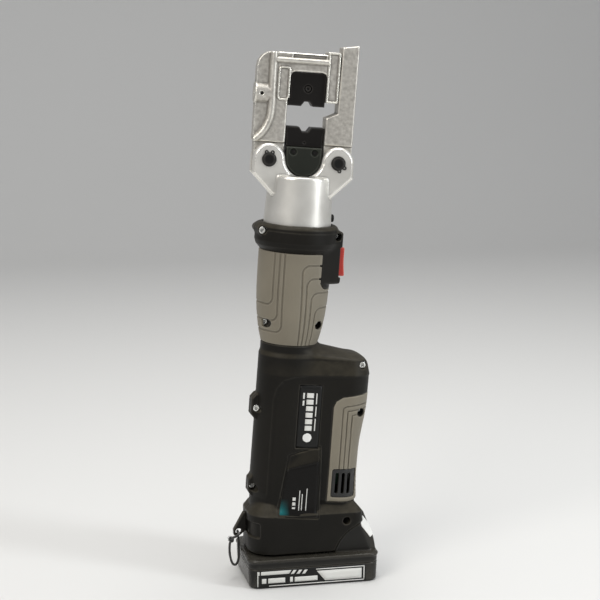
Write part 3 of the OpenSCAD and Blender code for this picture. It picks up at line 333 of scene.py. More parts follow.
def eased(xs, ys, width):
    """A line through points with its corners eased over a width."""
    grid = np.arange(min(xs) - 4 * width, max(xs) + 4 * width, 0.5)
    bell = np.exp(-0.5 * (np.arange(-3 * width, 3 * width + 0.1, 0.5) / width) ** 2)
    table = np.interp(grid, xs, ys)
    pad = len(bell) // 2
    table = np.convolve(np.pad(table, pad, mode="edge"), bell / bell.sum(), mode="valid")
    return lambda x: np.interp(x, grid, table)


def sample(distance, low, high, step):
    """Distance on a grid of points, exact only in the blocks near the surface."""
    block = 8
    blocks = np.ceil((np.array(high) - low) / step / block).astype(int) + 1
    index = np.stack(np.meshgrid(*[np.arange(n) for n in blocks], indexing="ij"), -1).reshape(-1, 3)
    middle = distance(low + (index + 0.5) * block * step)
    field = np.where(middle < 0, -1e3, 1e3).reshape(blocks)
    for axis in range(3):
        field = np.repeat(field, block, axis)
    near = index[np.abs(middle) < 1.2 * step * block]
    offset = np.stack(np.meshgrid(*[np.arange(block)] * 3, indexing="ij"), -1).reshape(-1, 3)
    cells = (near[:, None] * block + offset).reshape(-1, 3)
    field[tuple(cells.T)] = distance(low + cells * step)
    return field


def surface_net(field):
    """Points, in grid steps, and faces of the net round all points under 0."""
    solid = field < 0
    corner = [solid[i:solid.shape[0] - 1 + i, j:solid.shape[1] - 1 + j, k:solid.shape[2] - 1 + k]
              for i in (0, 1) for j in (0, 1) for k in (0, 1)]
    count = sum(c.astype(np.int8) for c in corner)
    active = np.argwhere((count > 0) & (count < 8))
    number = np.full(count.shape, -1)
    number[tuple(active.T)] = np.arange(len(active))
    total, hits = np.zeros((len(active), 3)), np.zeros(len(active))
    quads = []
    for axis in range(3):
        step_a, step_b, step_c = np.roll(np.eye(3, dtype=int), -axis, axis=0)
        for b in (0, 1):
            for c in (0, 1):
                start = active + b * step_b + c * step_c
                f0, f1 = field[tuple(start.T)], field[tuple((start + step_a).T)]
                crosses = (f0 < 0) != (f1 < 0)
                t = np.where(crosses, f0 / np.where(crosses, f0 - f1, 1), 0)
                total += crosses[:, None] * (start + t[:, None] * step_a)
                hits += crosses
        change = solid != np.roll(solid, -1, axis)
        change.swapaxes(0, axis)[-1] = False
        edge = np.argwhere(change)
        edge = edge[(edge[:, (axis + 1) % 3] > 0) & (edge[:, (axis + 2) % 3] > 0)]
        edge = edge[(edge < np.array(number.shape)).all(1)]
        ring = np.stack([number[tuple((edge - b * step_b - c * step_c).T)]
                         for b, c in ((0, 0), (1, 0), (1, 1), (0, 1))], 1)
        flip = ~solid[tuple(edge.T)]
        ring[flip] = ring[flip][:, ::-1]
        quads.append(ring)
    return total / hits[:, None], np.vstack(quads)


def skin(name, distance, low, high, step, place, keep=1.0):
    """Closed mesh over the zero level of a distance, thinned to a share where it is flat.
    Each point has an edge value: over 0 on ridges, under 0 in hollows."""
    axes = np.eye(3)
    low = np.array(low, float)
    points, quads = surface_net(sample(distance, low, high, step))
    points = low + points * step
    nudge = 0.2 * step
    for _ in range(2):
        d = distance(points)
        rise = [distance(points + nudge * e) - distance(points - nudge * e) for e in axes]
        slope = np.stack(rise, 1) / (0.4 * step)
        move = np.clip(d, -0.5 * step, 0.5 * step) / np.maximum((slope ** 2).sum(1), 0.3)
        points = points - move[:, None] * slope
    mesh = bpy.data.meshes.new(name)
    mesh.vertices.add(len(points))
    mesh.vertices.foreach_set("co", points.ravel())
    mesh.loops.add(quads.size)
    mesh.loops.foreach_set("vertex_index", quads.ravel())
    mesh.polygons.add(len(quads))
    mesh.polygons.foreach_set("loop_start", np.arange(len(quads)) * 4)
    mesh.update(calc_edges=True)
    mesh.validate()
    obj = link(name, mesh)

    def bend_at(co, reach=1.2):
        return (sum(distance(co + reach * s * e) for e in axes for s in (1, -1)) - 6 * distance(co)) / reach

    if keep < 1:
        flat = np.flatnonzero((np.abs(bend_at(points)) < 0.06) & (np.abs(bend_at(points, 2.4)) < 0.13))
        obj.vertex_groups.new(name="flat").add(flat.tolist(), 1.0, "REPLACE")
        thin = obj.modifiers.new("thin", "DECIMATE")
        thin.ratio = 1 - (1 - keep) * len(flat) / len(points)
        thin.vertex_group = "flat"
        bpy.context.view_layer.update()
        mesh = bpy.data.meshes.new_from_object(obj.evaluated_get(bpy.context.evaluated_depsgraph_get()))
        obj.modifiers.clear()
        obj.vertex_groups.clear()
        obj.data = mesh
        mesh.name = name
    co = np.zeros(len(mesh.vertices) * 3)
    mesh.vertices.foreach_get("co", co)
    co = co.reshape(-1, 3)
    bend = np.clip(bend_at(co), -1, 1).astype(np.float32)
    mesh.attributes.new("edge", "FLOAT", "POINT").data.foreach_set("value", bend)
    mesh.vertices.foreach_set("co", place(co).ravel())
    mesh.polygons.foreach_set("use_smooth", [True] * len(mesh.polygons))
    mesh.update()
    return obj


def half_skin(name, shape, side, low, high, step, keep=1.0):
    """Skin of a piece on one side of the tool, from its box on the far side."""
    low_y, high_y = sorted((low[1] * side, high[1] * side))
    return skin(name, lambda p: shape(p, side), (low[0], low_y, low[2]), (high[0], high_y, high[2]), step,
                tool_to_row, keep)


tube_radius = eased([56, 204, 216, 230], [25.4, 24.8, 25.0, 25.0], 4)
flank_reach = eased([56, 66, 100, 130, 162, 192], [73.0, 72.0, 70.2, 70.4, 73.8, 74.0], 7)
FLANK = [(0, -4.8), (56.4, -8.5), (56.4, 8.5), (0, 4.8)]
FLANK_ROUND = 20
SHOULDER = 204
COLUMN_FOOT, TUBE_TOP = 50, 216
GRIP_WIDE, GRIP_WAIST, GRIP_LENGTH = 32.2, 7.2, 82
BARREL_FOOT, BARREL_TOP, GRIP_SINK = 214, 300, 2.4
TUBE_WALL, BARREL_WALL, BLOCK_WALL, FOOT_WALL, ARCH_WALL = 2.5, 4.8, 4.4, 3, 2.4
SPIGOT_HOLE, FLANGE_GROOVE, RING_GROOVE, CYLINDER_SEAT = 24.4, 26.4, 27.05, 30.8
HOLLOW_TOP = 281
BOSS_RADIUS, BOSS_HALF, TAB_HALF = 3.8, 15.4, 6.8
POST, HEAD_HOLE, THREAD_HOLE = 4.6, 3.4, 1.8
SEAM = 0.1
FOOT_LEFT, FOOT_RIGHT, FOOT_SIDE = 56, 46, 31.5
LEFT_ROUND, RIGHT_ROUND = 22, 8
FOOT_CREASE, FOOT_TOP, FOOT_BASE = 63.5, 73, 28.6
ARCH_X, ARCH_Z, ARCH_RADIUS = 56, 17, 38
WEDGE = [(0, -25.5), (19.5, -25.5), (39.4, -13.5), (39.4, 13.5), (19.5, 25.5), (0, 25.5)]
TRIGGER_W = 290
COLLAR = [(0, 296), (30.2, 296.8), (35.4, 302.4), (36.8, 306.6), (36.6, 316), (0, 316)]
COLLAR_TOP = 321.9
PAD = [(39, 77), (90, 77), (90, 178), (59, 174), (47, 172), (41, 168), (39, 163)]
LABEL = rectangle(7.4, 27.8, 125, 182)
LOWER_PANEL = [(-5, 63.5), (31.5, 62.5), (29.5, 127), (2.5, 118.5)]
FRONT_FIELD = [(90, 190), (52, 188.8), (16, 188), (2, 186.5), (-6, 183.5), (-10.5, 177), (-12.5, 168),
               (-12.5, 40), (90, 40)]
TABS = [[(-30.8, 150), (-30.8, 164.5), (-27.2, 169), (-16, 169), (-16, 146), (-27, 146)],
        [(-28.8, 80), (-28.8, 91), (-26, 94.5), (-15, 94.5), (-15, 76), (-26, 76)]]
SLOTS = [47, 52.5, 58]
SLOT_W, SLOT_HALF, SLOT_RADIUS = 94, 8, 1.5
SCREWS = [(-33.6, 315.6, 16), (34.3, 312.5, 5), (-24.6, 234, 7.4), (21.4, 234.4, 5), (-26.2, 156, 7),
          (-24.4, 84, 1.5), (63.8, 200.5, 20.5), (65, 158, 12), (58, 60.6, 16)]


def grip_radius(w):
    return GRIP_WIDE - GRIP_WAIST * np.clip(1 - (w - TUBE_TOP) / GRIP_LENGTH, 0, 1) ** 3.5


def flank_plan(p):
    """Plan of the block on the trigger side, stretched to its reach at each height."""
    u, y, w = p.T
    return outline(FLANK, u * 56.4 / (flank_reach(w) - FLANK_ROUND), y) - FLANK_ROUND


def body_block(p):
    """The squarish block on the trigger side, with a ridged shoulder and an undercut above the foot."""
    u, y, w = p.T
    ridge = 11.4 - 0.2 * (u - 25)
    top = SHOULDER + ridge * (1 - (y / 27) ** 2) - np.maximum(u - 60, 0) ** 2 / 24
    under = 2.2 * np.clip((79 - w) / 5, 0, 1) + 4.2 * np.clip((w - 189) / 15, 0, 1)
    return within(soft_cut(flank_plan(p) + under, 0.87 * (w - top), 2.0), COLUMN_FOOT - w)


def foot_plan(x, y):
    """Plan of the foot, well rounded at the lanyard's end and less at the other."""
    left = np.stack([-FOOT_LEFT - x + LEFT_ROUND, np.abs(y) - FOOT_SIDE + LEFT_ROUND], 1)
    right = np.stack([x - FOOT_RIGHT + RIGHT_ROUND, np.abs(y) - FOOT_SIDE + RIGHT_ROUND], 1)
    return within(rounded(left, LEFT_ROUND), rounded(right, RIGHT_ROUND))


def housing(p):
    """Blunt wedge round the trigger, and under it a round-cornered apron level with the grip."""
    u, y, w = p.T
    shape = slab(outline(WEDGE, u, y), w - 294.1, 23.2, 2.5)
    apron = plate_box(u, w, (40.2, 283), (20.5, 16.2), 6.5)
    return join(shape, within(apron, np.hypot(u, y) - grip_radius(w) - 0.1))


def handle_outside(p):
    """The whole handle without its hollows, with the block and the foot's plan that it is made of."""
    u, y, w = p.T
    x, z = row_places(p)
    r = np.hypot(u, y)
    tube = within(r - tube_radius(w), w - TUBE_TOP, COLUMN_FOOT - w)
    block = body_block(p)
    column = soft_join(tube, block, 6)
    plan = foot_plan(x, y)
    proud = np.clip(outline(FRONT_FIELD, u, w) / 2.4, 0, 1)
    proud = proud * np.clip((w - 76) / 6, 0, 1) * np.clip((209 - w) / 4, 0, 1)
    column = column - 1.2 * proud
    foot = soft_cut(plan + np.clip((z - FOOT_CREASE) / 9.5, 0, 1) * 8, z - FOOT_TOP, 0.6)
    column = soft_join(column, foot, 0.8)
    ramp = 0.2 + 2.0 * np.clip((118.5 + 0.315 * (u - 2.5) - w) / 12, 0, 1)
    field = soft_cut(outline(LOWER_PANEL, u, w) - 1.6, flank_plan(p) - ramp, 0.8)
    column = soft_join(column, within(field, 59 - z), 0.6)
    catch = plate_box(x, z, (-51.6, 50), (4.2, 6.6), 1.2)
    column = soft_cut(column, -without(within(catch, y), plan + 1.4), 0.6)
    column = soft_cut(column, FOOT_BASE - z, 1.5)
    column = soft_cut(column, ARCH_RADIUS - np.hypot(x - ARCH_X, z - ARCH_Z), 1.5)
    barrel = within(r - grip_radius(w) + GRIP_SINK, BARREL_FOOT - w, w - BARREL_TOP)
    bead = np.hypot(r - 32.6, w - 317.9) - 3.9
    bead = join(bead, within(r - 33, w - COLLAR_TOP, 314 - w))
    collar = soft_join(soft_join(outline(COLLAR, r, w), bead, 1.2), housing(p), 2.5)
    whole = join(column, barrel, collar)
    boss_u, boss_w, _ = SCREWS[0]
    whole = soft_join(whole, slab(np.hypot(u - boss_u, w - boss_w) - BOSS_RADIUS, y, BOSS_HALF, 1.2), 2.5)
    for tab in TABS:
        whole = soft_join(whole, slab(outline(tab, u, w), y, TAB_HALF, 1.4), 1.5)
    return whole, block, plan


def handle_space(p, block, plan):
    """Everything that is hollow in the shells: under 0 inside."""
    u, y, w = p.T
    x, z = row_places(p)
    r = np.hypot(u, y)
    tube = within(r - tube_radius(w) + TUBE_WALL, 62 - w, w - SHOULDER)
    neck = within(r - 20.2, 200 - w, w - 284)
    barrel = within(r - grip_radius(w) + BARREL_WALL, BARREL_FOOT - w, w - HOLLOW_TOP)
    room = within(block + BLOCK_WALL, 64 - w)
    foot = within(plan + FOOT_WALL, 39 - z, z - 58.5)
    foot = within(foot, ARCH_RADIUS + ARCH_WALL - np.hypot(x - ARCH_X, z - ARCH_Z))
    rail = within(-42.3 - x, np.abs(y) - 20.3, z - 36.9)
    swivel = join(within(r - FLANGE_GROOVE, np.abs(w - 284.6) - 2.1),
                  within(r - RING_GROOVE, np.abs(w - 289.7) - 3),
                  within(r - SPIGOT_HOLE, HOLLOW_TOP - w), within(r - CYLINDER_SEAT, 317.6 - w))
    pocket = bar(p, (32.2, 0, 288.5), (3.9, 9.4, 15.0), 0.3)
    window = bar(p, (40, 0, TRIGGER_W), (9, 7.8, 13.1), 0.8)
    window = join(window, bar(p, (46, 0, TRIGGER_W), (8.4, 30, 13.3), 0.4))
    lever = bar(p, (20, 0, 271.5), (9, 6.3, 9), 0.3)
    rooms = join(tube, barrel, room, foot)
    posts = join(*[np.hypot(u - cu, w - cw) for cu, cw, _ in SCREWS]) - POST
    return join(without(rooms, posts), neck, rail, swivel, pocket, window, lever)


def air_slots(u, w):
    """Three round-ended upright slots."""
    past_end = np.maximum(np.abs(w - SLOT_W) - SLOT_HALF, 0)
    return join(*[np.hypot(u - cu, past_end) - SLOT_RADIUS for cu in SLOTS])


def shell(p, side):
    """One half of the handle, with the seats of its pad, label, panel and screws."""
    u, y, w = p.T
    whole, block, plan = handle_outside(p)
    pad = without(outline(PAD, u, w), block + 2.05)
    label = without(outline(LABEL, u, w), block + 0.85)
    rim = without(np.abs(outline(LOWER_PANEL, u, w)) - 0.5, whole + 0.5)
    slots = slab(air_slots(u, w), np.abs(y) - 24, 8, 0.2)
    cut = join(pad, label, rim, slots)
    for cu, cw, depth in SCREWS:
        across = np.hypot(u - cu, w - cw)
        head_hole = within(across - HEAD_HOLE, y + (depth - 2.4))
        thread_hole = within(across - THREAD_HOLE, y - 11)
        cut = join(cut, head_hole if side < 0 else thread_hole)
    shape = without(whole, cut, handle_space(p, block, plan))
    return within(shape, SEAM - side * y)


def node_group(name, inputs, outputs):
    """Empty shader group with named number sockets; returns its tree and its two ends."""
    tree = bpy.data.node_groups.new(name, "ShaderNodeTree")
    for socket, value in inputs:
        tree.interface.new_socket(socket, in_out="INPUT", socket_type="NodeSocketFloat").default_value = value
    for socket in outputs:
        tree.interface.new_socket(socket, in_out="OUTPUT", socket_type="NodeSocketFloat")
    return tree, tree.nodes.new("NodeGroupInput"), tree.nodes.new("NodeGroupOutput")


def math_node(tree, kind, *values, clamp=False):
    """Math node fed by sockets or plain numbers; returns its result."""
    node = tree.nodes.new("ShaderNodeMath")
    node.operation = kind
    node.use_clamp = clamp
    for socket, value in zip(node.inputs, values):
        if hasattr(value, "is_linked"):
            tree.links.new(value, socket)
        else:
            socket.default_value = value
    return node.outputs[0]


# Grain: a fine tooth for the bump and a slow drift of tone over the piece.
fine_grain, ins, outs = node_group("fine_grain", [("Scale", 2500.0), ("Drift", 14.0)], ["Height", "Tone"])
place = fine_grain.nodes.new("ShaderNodeTexCoord")
for source, target, detail in (("Scale", "Height", 3.0), ("Drift", "Tone", 6.0)):
    noise = fine_grain.nodes.new("ShaderNodeTexNoise")
    noise.inputs["Detail"].default_value = detail
    fine_grain.links.new(place.outputs["Object"], noise.inputs["Vector"])
    fine_grain.links.new(ins.outputs[source], noise.inputs["Scale"])
    fine_grain.links.new(noise.outputs["Fac"], outs.inputs[target])

# Wear and painted light: ridges lightened by wear and a painted highlight, hollows darkened with painted
# shade, and faces that look up lightened with painted top light, all broken up by a noise.
wear_and_light_marks, ins, outs = node_group("wear_and_painted_light", [("Scale", 160.0)], ["RidgeWearHighlight", "HollowShade", "TopPaintedLight"])
place = wear_and_light_marks.nodes.new("ShaderNodeTexCoord")
bent = wear_and_light_marks.nodes.new("ShaderNodeAttribute")
bent.attribute_name = "edge"
noise = wear_and_light_marks.nodes.new("ShaderNodeTexNoise")
noise.inputs["Detail"].default_value = 5.0
wear_and_light_marks.links.new(place.outputs["Object"], noise.inputs["Vector"])
wear_and_light_marks.links.new(ins.outputs["Scale"], noise.inputs["Scale"])
broken = math_node(wear_and_light_marks, "MULTIPLY_ADD", noise.outputs["Fac"], 1.2, 0.2)
# Ridges: convex places lightened, partly by wear and partly as a painted highlight.
high = math_node(wear_and_light_marks, "SUBTRACT", bent.outputs["Fac"], 0.18, clamp=True)
high = math_node(wear_and_light_marks, "MULTIPLY", high, 1.6)
wear_and_light_marks.links.new(math_node(wear_and_light_marks, "MULTIPLY", high, broken, clamp=True), outs.inputs["RidgeWearHighlight"])
# Hollows: concave places darkened with painted shade.
wear_and_light_marks.links.new(math_node(wear_and_light_marks, "MULTIPLY", bent.outputs["Fac"], -1.3, clamp=True), outs.inputs["HollowShade"])
# Faces that look up lightened with painted top light, standing in for the light from above.
facing = wear_and_light_marks.nodes.new("ShaderNodeNewGeometry")
facing_parts = wear_and_light_marks.nodes.new("ShaderNodeSeparateXYZ")
wear_and_light_marks.links.new(facing.outputs["Normal"], facing_parts.inputs["Vector"])
upward = math_node(wear_and_light_marks, "SUBTRACT", facing_parts.outputs["Z"], 0.06)
upward = math_node(wear_and_light_marks, "MULTIPLY", upward, 3.2, clamp=True)
wear_and_light_marks.links.new(math_node(wear_and_light_marks, "MULTIPLY", upward, broken, clamp=True), outs.inputs["TopPaintedLight"])
# Pale tone of the painted top light on faces that look up.
TOP_LIGHT_TONE = (0.046, 0.040, 0.028)


def finish(name, dark, light, worn_and_highlight_tone, rough, grain=2500.0, depth=0.00004, metal=0.0, wear_and_highlight=0.5, hollow_shade=0.35,
           drift=14.0, sheen=0.0, gloss=0.5, top_light=0.0):
    """Finish with a drift of tone, fine grain, ridges lightened by wear and a painted highlight, painted
    shade in hollows and painted top light on faces that look up.
    """
    material, nodes, links, shade = new_material(name)
    tree = material.node_tree
    shade.inputs["Metallic"].default_value = metal
    shade.inputs["Sheen Weight"].default_value = sheen
    shade.inputs["Specular IOR Level"].default_value = gloss
    tooth = nodes.new("ShaderNodeGroup")
    tooth.node_tree = fine_grain
    tooth.inputs["Scale"].default_value = grain
    tooth.inputs["Drift"].default_value = drift
    edges = nodes.new("ShaderNodeGroup")
    edges.node_tree = wear_and_light_marks
    colour = tone_ramp(nodes, links, tooth.outputs["Tone"], dark, light, 0.3, 0.7)
    # Painted top light on faces that look up, painted shade in hollows with the base tone darkened, and
    # ridges lightened by wear and a painted highlight.
    hollow_shade_tone = tuple(c * 0.35 for c in dark)
    for mask, amount, other in (("TopPaintedLight", top_light, TOP_LIGHT_TONE), ("HollowShade", hollow_shade, hollow_shade_tone), ("RidgeWearHighlight", wear_and_highlight, worn_and_highlight_tone)):
        mix = nodes.new("ShaderNodeMix")
        mix.data_type = "RGBA"
        links.new(math_node(tree, "MULTIPLY", edges.outputs[mask], amount), mix.inputs["Factor"])
        links.new(colour, mix.inputs["A"])
        mix.inputs["B"].default_value = (*other, 1)
        colour = mix.outputs["Result"]
    links.new(colour, shade.inputs["Base Color"])
    spread = math_node(tree, "MULTIPLY_ADD", tooth.outputs["Tone"], 0.24, rough - 0.12)
    polish = math_node(tree, "MULTIPLY_ADD", edges.outputs["RidgeWearHighlight"], -0.25 * wear_and_highlight, spread)
    links.new(polish, shade.inputs["Roughness"])
    add_bump(nodes, links, shade, tooth.outputs["Height"], 0.6, depth)
    return material


# Black nylon: faces that look up lightened strongly with painted top light.
black_nylon = finish("black_nylon", (0.006, 0.0054, 0.0042), (0.011, 0.0099, 0.0078), (0.045, 0.042, 0.035),
                     0.48, grain=1800, depth=0.00006, gloss=0.14, top_light=0.85)
for word, side in SIDES:
    half = half_skin(word + "_shell_moulding", shell, side, (-44, -3, 22), (84, 40, 326), 0.95, keep=0.25)
    fit(half, black_nylon, "handle", word + "_shell")


# Shell screws: zinc plated pan heads sunk in the near shell, each with a six-lobed socket, and a thread that
# runs across into a post of the far shell.
SCREW_HEAD, SCREW_REACH = 3.1, 10


def screw_shape(p, depth):
    """A screw along Y with its head at -depth."""
    u, y, w = p.T
    r = np.hypot(u, w)
    lobes = 1.25 + 0.28 * np.cos(6 * np.arctan2(w, u))
    head = slab(r - SCREW_HEAD, y + depth - 1.1, 1.1, 0.5)
    head = without(head, within(r - lobes, y + depth - 1.4))
    thread = 1.32 + 0.16 * np.abs(((y * 0.9 + np.arctan2(w, u) / (2 * math.pi)) % 1) * 2 - 1)
    return join(head, within(r - thread, -depth + 1 - y, y - SCREW_REACH))


zinc = finish("zinc_plate", (0.42, 0.42, 0.40), (0.60, 0.60, 0.57), (0.85, 0.85, 0.82), 0.32, grain=900,
              metal=1.0)
for k, (cu, cw, depth) in enumerate(SCREWS):
    part = skin(f"shell_screw_{k + 1}", lambda p, d=depth: screw_shape(p, d), (-4, -depth - 1, -4),
                (4, 11, 4), 0.4, lambda p, cu=cu, cw=cw: tool_to_row(p + np.array([cu, 0, cw])), keep=0.4)
    fit(part, zinc, "handle")
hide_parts("shell_screws")


# Side pads: grey rubber over-moulded on the block's flanks, with nested grooves that follow the pad's edge,
# and a window for the air grille.
WINDOW = rectangle(44.2, 62.8, 83.2, 104.8)
PAD_GROOVES = (8.8, 13.0, 17.2)
PAD_DEPTH, GROOVE_HALF, GROOVE_DEPTH = 2.0, 0.55, 0.7
SCREW_RELIEF, RUBBER_SEAM = 3.9, 0.12
PAD_SCREW = SCREWS[7]


def side_pad(p, side):
    """Rubber pad on one flank."""
    u, y, w = p.T
    block = body_block(p)
    edge = outline(PAD, u, w)
    shape = without(soft_cut(edge + 0.15, block - 0.25, 0.8), block + PAD_DEPTH)
    for inset in PAD_GROOVES:
        shape = without(shape, without(np.abs(edge + inset) - GROOVE_HALF, block + GROOVE_DEPTH))
    shape = without(shape, outline(WINDOW, u, w) - 2.2)
    shape = without(shape, np.hypot(u - PAD_SCREW[0], w - PAD_SCREW[1]) - SCREW_RELIEF)
    return within(shape, RUBBER_SEAM - side * y)


def air_grille(p, side):
    """Slotted plate in the pad's window."""
    u, y, w = p.T
    block = body_block(p)
    shape = without(soft_cut(outline(WINDOW, u, w) - 1.9, block + 0.5, 0.6), block + PAD_DEPTH)
    shape = without(shape, air_slots(u, w))
    return within(shape, RUBBER_SEAM - side * y)


# Grey rubber: its grooves darkened with painted shade.
grey_rubber = finish("grey_rubber", (0.160, 0.141, 0.104), (0.200, 0.178, 0.134), (0.26, 0.235, 0.185), 0.74,
                     grain=1500, depth=0.00008, wear_and_highlight=0.3, hollow_shade=0.32, sheen=0.1)
slat_black = finish("slat_black", (0.006, 0.006, 0.006), (0.011, 0.011, 0.010), (0.04, 0.04, 0.04), 0.5,
                    gloss=0.3)
for word, side in SIDES:
    pad = half_skin(word + "_pad_skin", side_pad, side, (36, -2, 74), (80, 32, 182), 0.7, keep=0.3)
    fit(pad, grey_rubber, "handle", word + "_pad")
    slats = half_skin(word + "_grille", air_grille, side, (40, -2, 79), (67, 32, 109), 0.6, keep=0.5)
    fit(slats, slat_black, "handle")
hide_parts("vent_grilles")


# Label plates: thin matt plates let into both flanks. The real ones carry printing; these are left bare
# but for plain pale blocks, bars and a disc, thin films laid on the plate.
PLATE = rectangle(7.6, 27.6, 125.2, 181.8)
BARS = [rectangle(14.4, 20.6, low_w, high_w) for low_w, high_w in
        ((141, 145.4), (146.9, 151.3), (152.8, 157.2), (158.7, 163.1), (164.6, 169), (170.5, 174.9))]
BARS += [rectangle(22.8, 23.7, 141, 152), rectangle(22.8, 23.7, 154, 163), rectangle(22.8, 23.7, 165, 174.9),
         rectangle(11.0, 12.5, 163.5, 168), rectangle(11.0, 12.5, 169.5, 174.9)]
DISC_U, DISC_W, DISC_RADIUS = 17.2, 134.6, 4.1


def sheet_on(name, corners, surface, out, thick, side, place, cells):
    """Closed thin sheet over four corners in (u, w), laid on a surface at a height out of it."""
    s, t = np.meshgrid(np.linspace(0, 1, cells[0] + 1), np.linspace(0, 1, cells[1] + 1), indexing="ij")
    a, b, c, d = [np.array(q, float) for q in corners]
    flat = ((1 - s)[..., None] * ((1 - t)[..., None] * a + t[..., None] * d)
            + s[..., None] * ((1 - t)[..., None] * b + t[..., None] * c)).reshape(-1, 2)
    layers = []
    for level in (out, out - thick):
        low, high = np.zeros(len(flat)), np.full(len(flat), 60.0)
        for _ in range(24):
            middle = 0.5 * (low + high)
            inside = surface(np.c_[flat[:, 0], side * middle, flat[:, 1]]) < level
            low, high = np.where(inside, middle, low), np.where(inside, high, middle)
        layers.append(np.c_[flat[:, 0], side * 0.5 * (low + high), flat[:, 1]])
    n, m = cells[0] + 1, cells[1] + 1
    grid = np.arange(n * m).reshape(n, m)
    top = np.stack([grid[:-1, :-1], grid[1:, :-1], grid[1:, 1:], grid[:-1, 1:]], -1).reshape(-1, 4)
    rim = np.concatenate([grid[:, 0], grid[-1, 1:], grid[-2::-1, -1], grid[0, -2:0:-1]])
    wall = np.stack([np.roll(rim, -1), rim, rim + n * m, np.roll(rim, -1) + n * m], -1)
    faces = np.vstack([top, top[:, ::-1] + n * m, wall])
    if side > 0:
        faces = faces[:, ::-1]
    smooth = [True] * len(top) + [False] * (len(faces) - len(top))
    return mesh_piece(name, place(np.vstack(layers)).tolist(), faces.tolist(), smooth)


def label_disc(p, side):
    """Round film on the label plate."""
    block = body_block(p)
    spot = np.hypot(p[:, 0] - DISC_U, p[:, 2] - DISC_W) - DISC_RADIUS
    return within(spot, 5 - side * p[:, 1], without(block + 0.04, block + 0.9))


def print_marks(stem, marks, surface, out, thick, side, place, cells, body):
    """White printed marks, each a thin film on a surface."""
    for k, corners in enumerate(marks):
        film = sheet_on(f"{stem}_{k + 1}", corners, surface, out, thick, side, place, cells)
        fit(film, print_white, body)


plate_black = finish("plate_black", (0.006, 0.006, 0.0055), (0.009, 0.009, 0.0085), (0.03, 0.03, 0.03), 0.40,
                     grain=700, depth=0.00002, gloss=0.25)
print_white = finish("print_white", (0.60, 0.60, 0.57), (0.72, 0.72, 0.69), (0.8, 0.8, 0.78), 0.55,
                     grain=3200, depth=0.00001)
for word, side in SIDES:
    plate = sheet_on(word + "_label_plate", PLATE, body_block, -0.1, 0.7, side, tool_to_row, (10, 16))
    fit(plate, plate_black, "handle")
    print_marks(word + "_label_bar", BARS, body_block, -0.04, 0.08, side, tool_to_row, (3, 8), "handle")
    disc = half_skin(word + "_label_disc", label_disc, side, (12, 20, 129), (22, 32, 140), 0.4)
    fit(disc, print_white, "handle")
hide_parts("label_plates")


# Lower panel: a printed film in the framed field above the foot, black with a teal corner that fades upwards;
# its printing is left as plain small marks and bars.
FILM = [(-3.4, 65), (30.2, 64.2), (28.9, 113.5), (1.0, 105.5)]
MARKS = [rectangle(7.8, 10.6, 68.5, 71.5), rectangle(7.8, 10.6, 73, 76), rectangle(7.8, 10.6, 77.5, 80.5),
         rectangle(13.5, 14.2, 68, 87), rectangle(15.9, 16.6, 68, 84), rectangle(19.8, 20.5, 68, 89)]


def shell_face(p):
    return handle_outside(p)[0]


teal_film, nodes, links, shade = new_material("teal_film")
film_tree = teal_film.node_tree
shade.inputs["Roughness"].default_value = 0.4
shade.inputs["Specular IOR Level"].default_value = 0.15
place = nodes.new("ShaderNodeTexCoord")
parts = nodes.new("ShaderNodeSeparateXYZ")
links.new(place.outputs["Object"], parts.inputs["Vector"])
fade = math_node(film_tree, "MULTIPLY_ADD", parts.outputs["Z"], -75.0, 5.9)
fade = math_node(film_tree, "MULTIPLY", fade, 1.0, clamp=True)
slant = math_node(film_tree, "MULTIPLY_ADD", parts.outputs["X"], -105.0, -2.25)
slant = math_node(film_tree, "MULTIPLY", slant, 1.0, clamp=True)
teal_mask = math_node(film_tree, "MULTIPLY", fade, slant, clamp=True)
speck = nodes.new("ShaderNodeTexNoise")
speck.inputs["Scale"].default_value = 900
mottle = math_node(film_tree, "MULTIPLY_ADD", speck.outputs["Fac"], 0.5)
mix = nodes.new("ShaderNodeMix")
mix.data_type = "RGBA"
links.new(math_node(film_tree, "MULTIPLY", teal_mask, mottle), mix.inputs["Factor"])
mix.inputs["A"].default_value = (0.005, 0.0045, 0.004, 1)
mix.inputs["B"].default_value = (0.015, 0.24, 0.26, 1)
links.new(mix.outputs["Result"], shade.inputs["Base Color"])
for word, side in SIDES:
    film = sheet_on(word + "_panel_film", FILM, shell_face, 0.12, 0.3, side, tool_to_row, (14, 16))
    fit(film, teal_film, "handle")
    print_marks(word + "_panel_mark", MARKS, shell_face, 0.2, 0.12, side, tool_to_row, (2, 6), "handle")


# Grips: warm grey soft rubber moulded over the barrel of each shell, with nested thin grooves that run round
# the thumb and finger sides and turn along the tool.
GRIP_TURN = 0.56
GROOVE_CORNER = 7.0
SKIN_FOOT, SKIN_TOP, SKIN_DEPTH = 216.2, 297.8, 2.3
LINE_HALF, LINE_DEPTH = 0.75, 0.9
LEFT_GROOVES = ((-44.4, 251.5), (-35, 237.5), (-27, 227.5))
RIGHT_GROOVES = ((4, 288), (12, 276.5), (21, 264), (30.5, 250.5))
GRIP_SCREWS = (SCREWS[2], SCREWS[3])


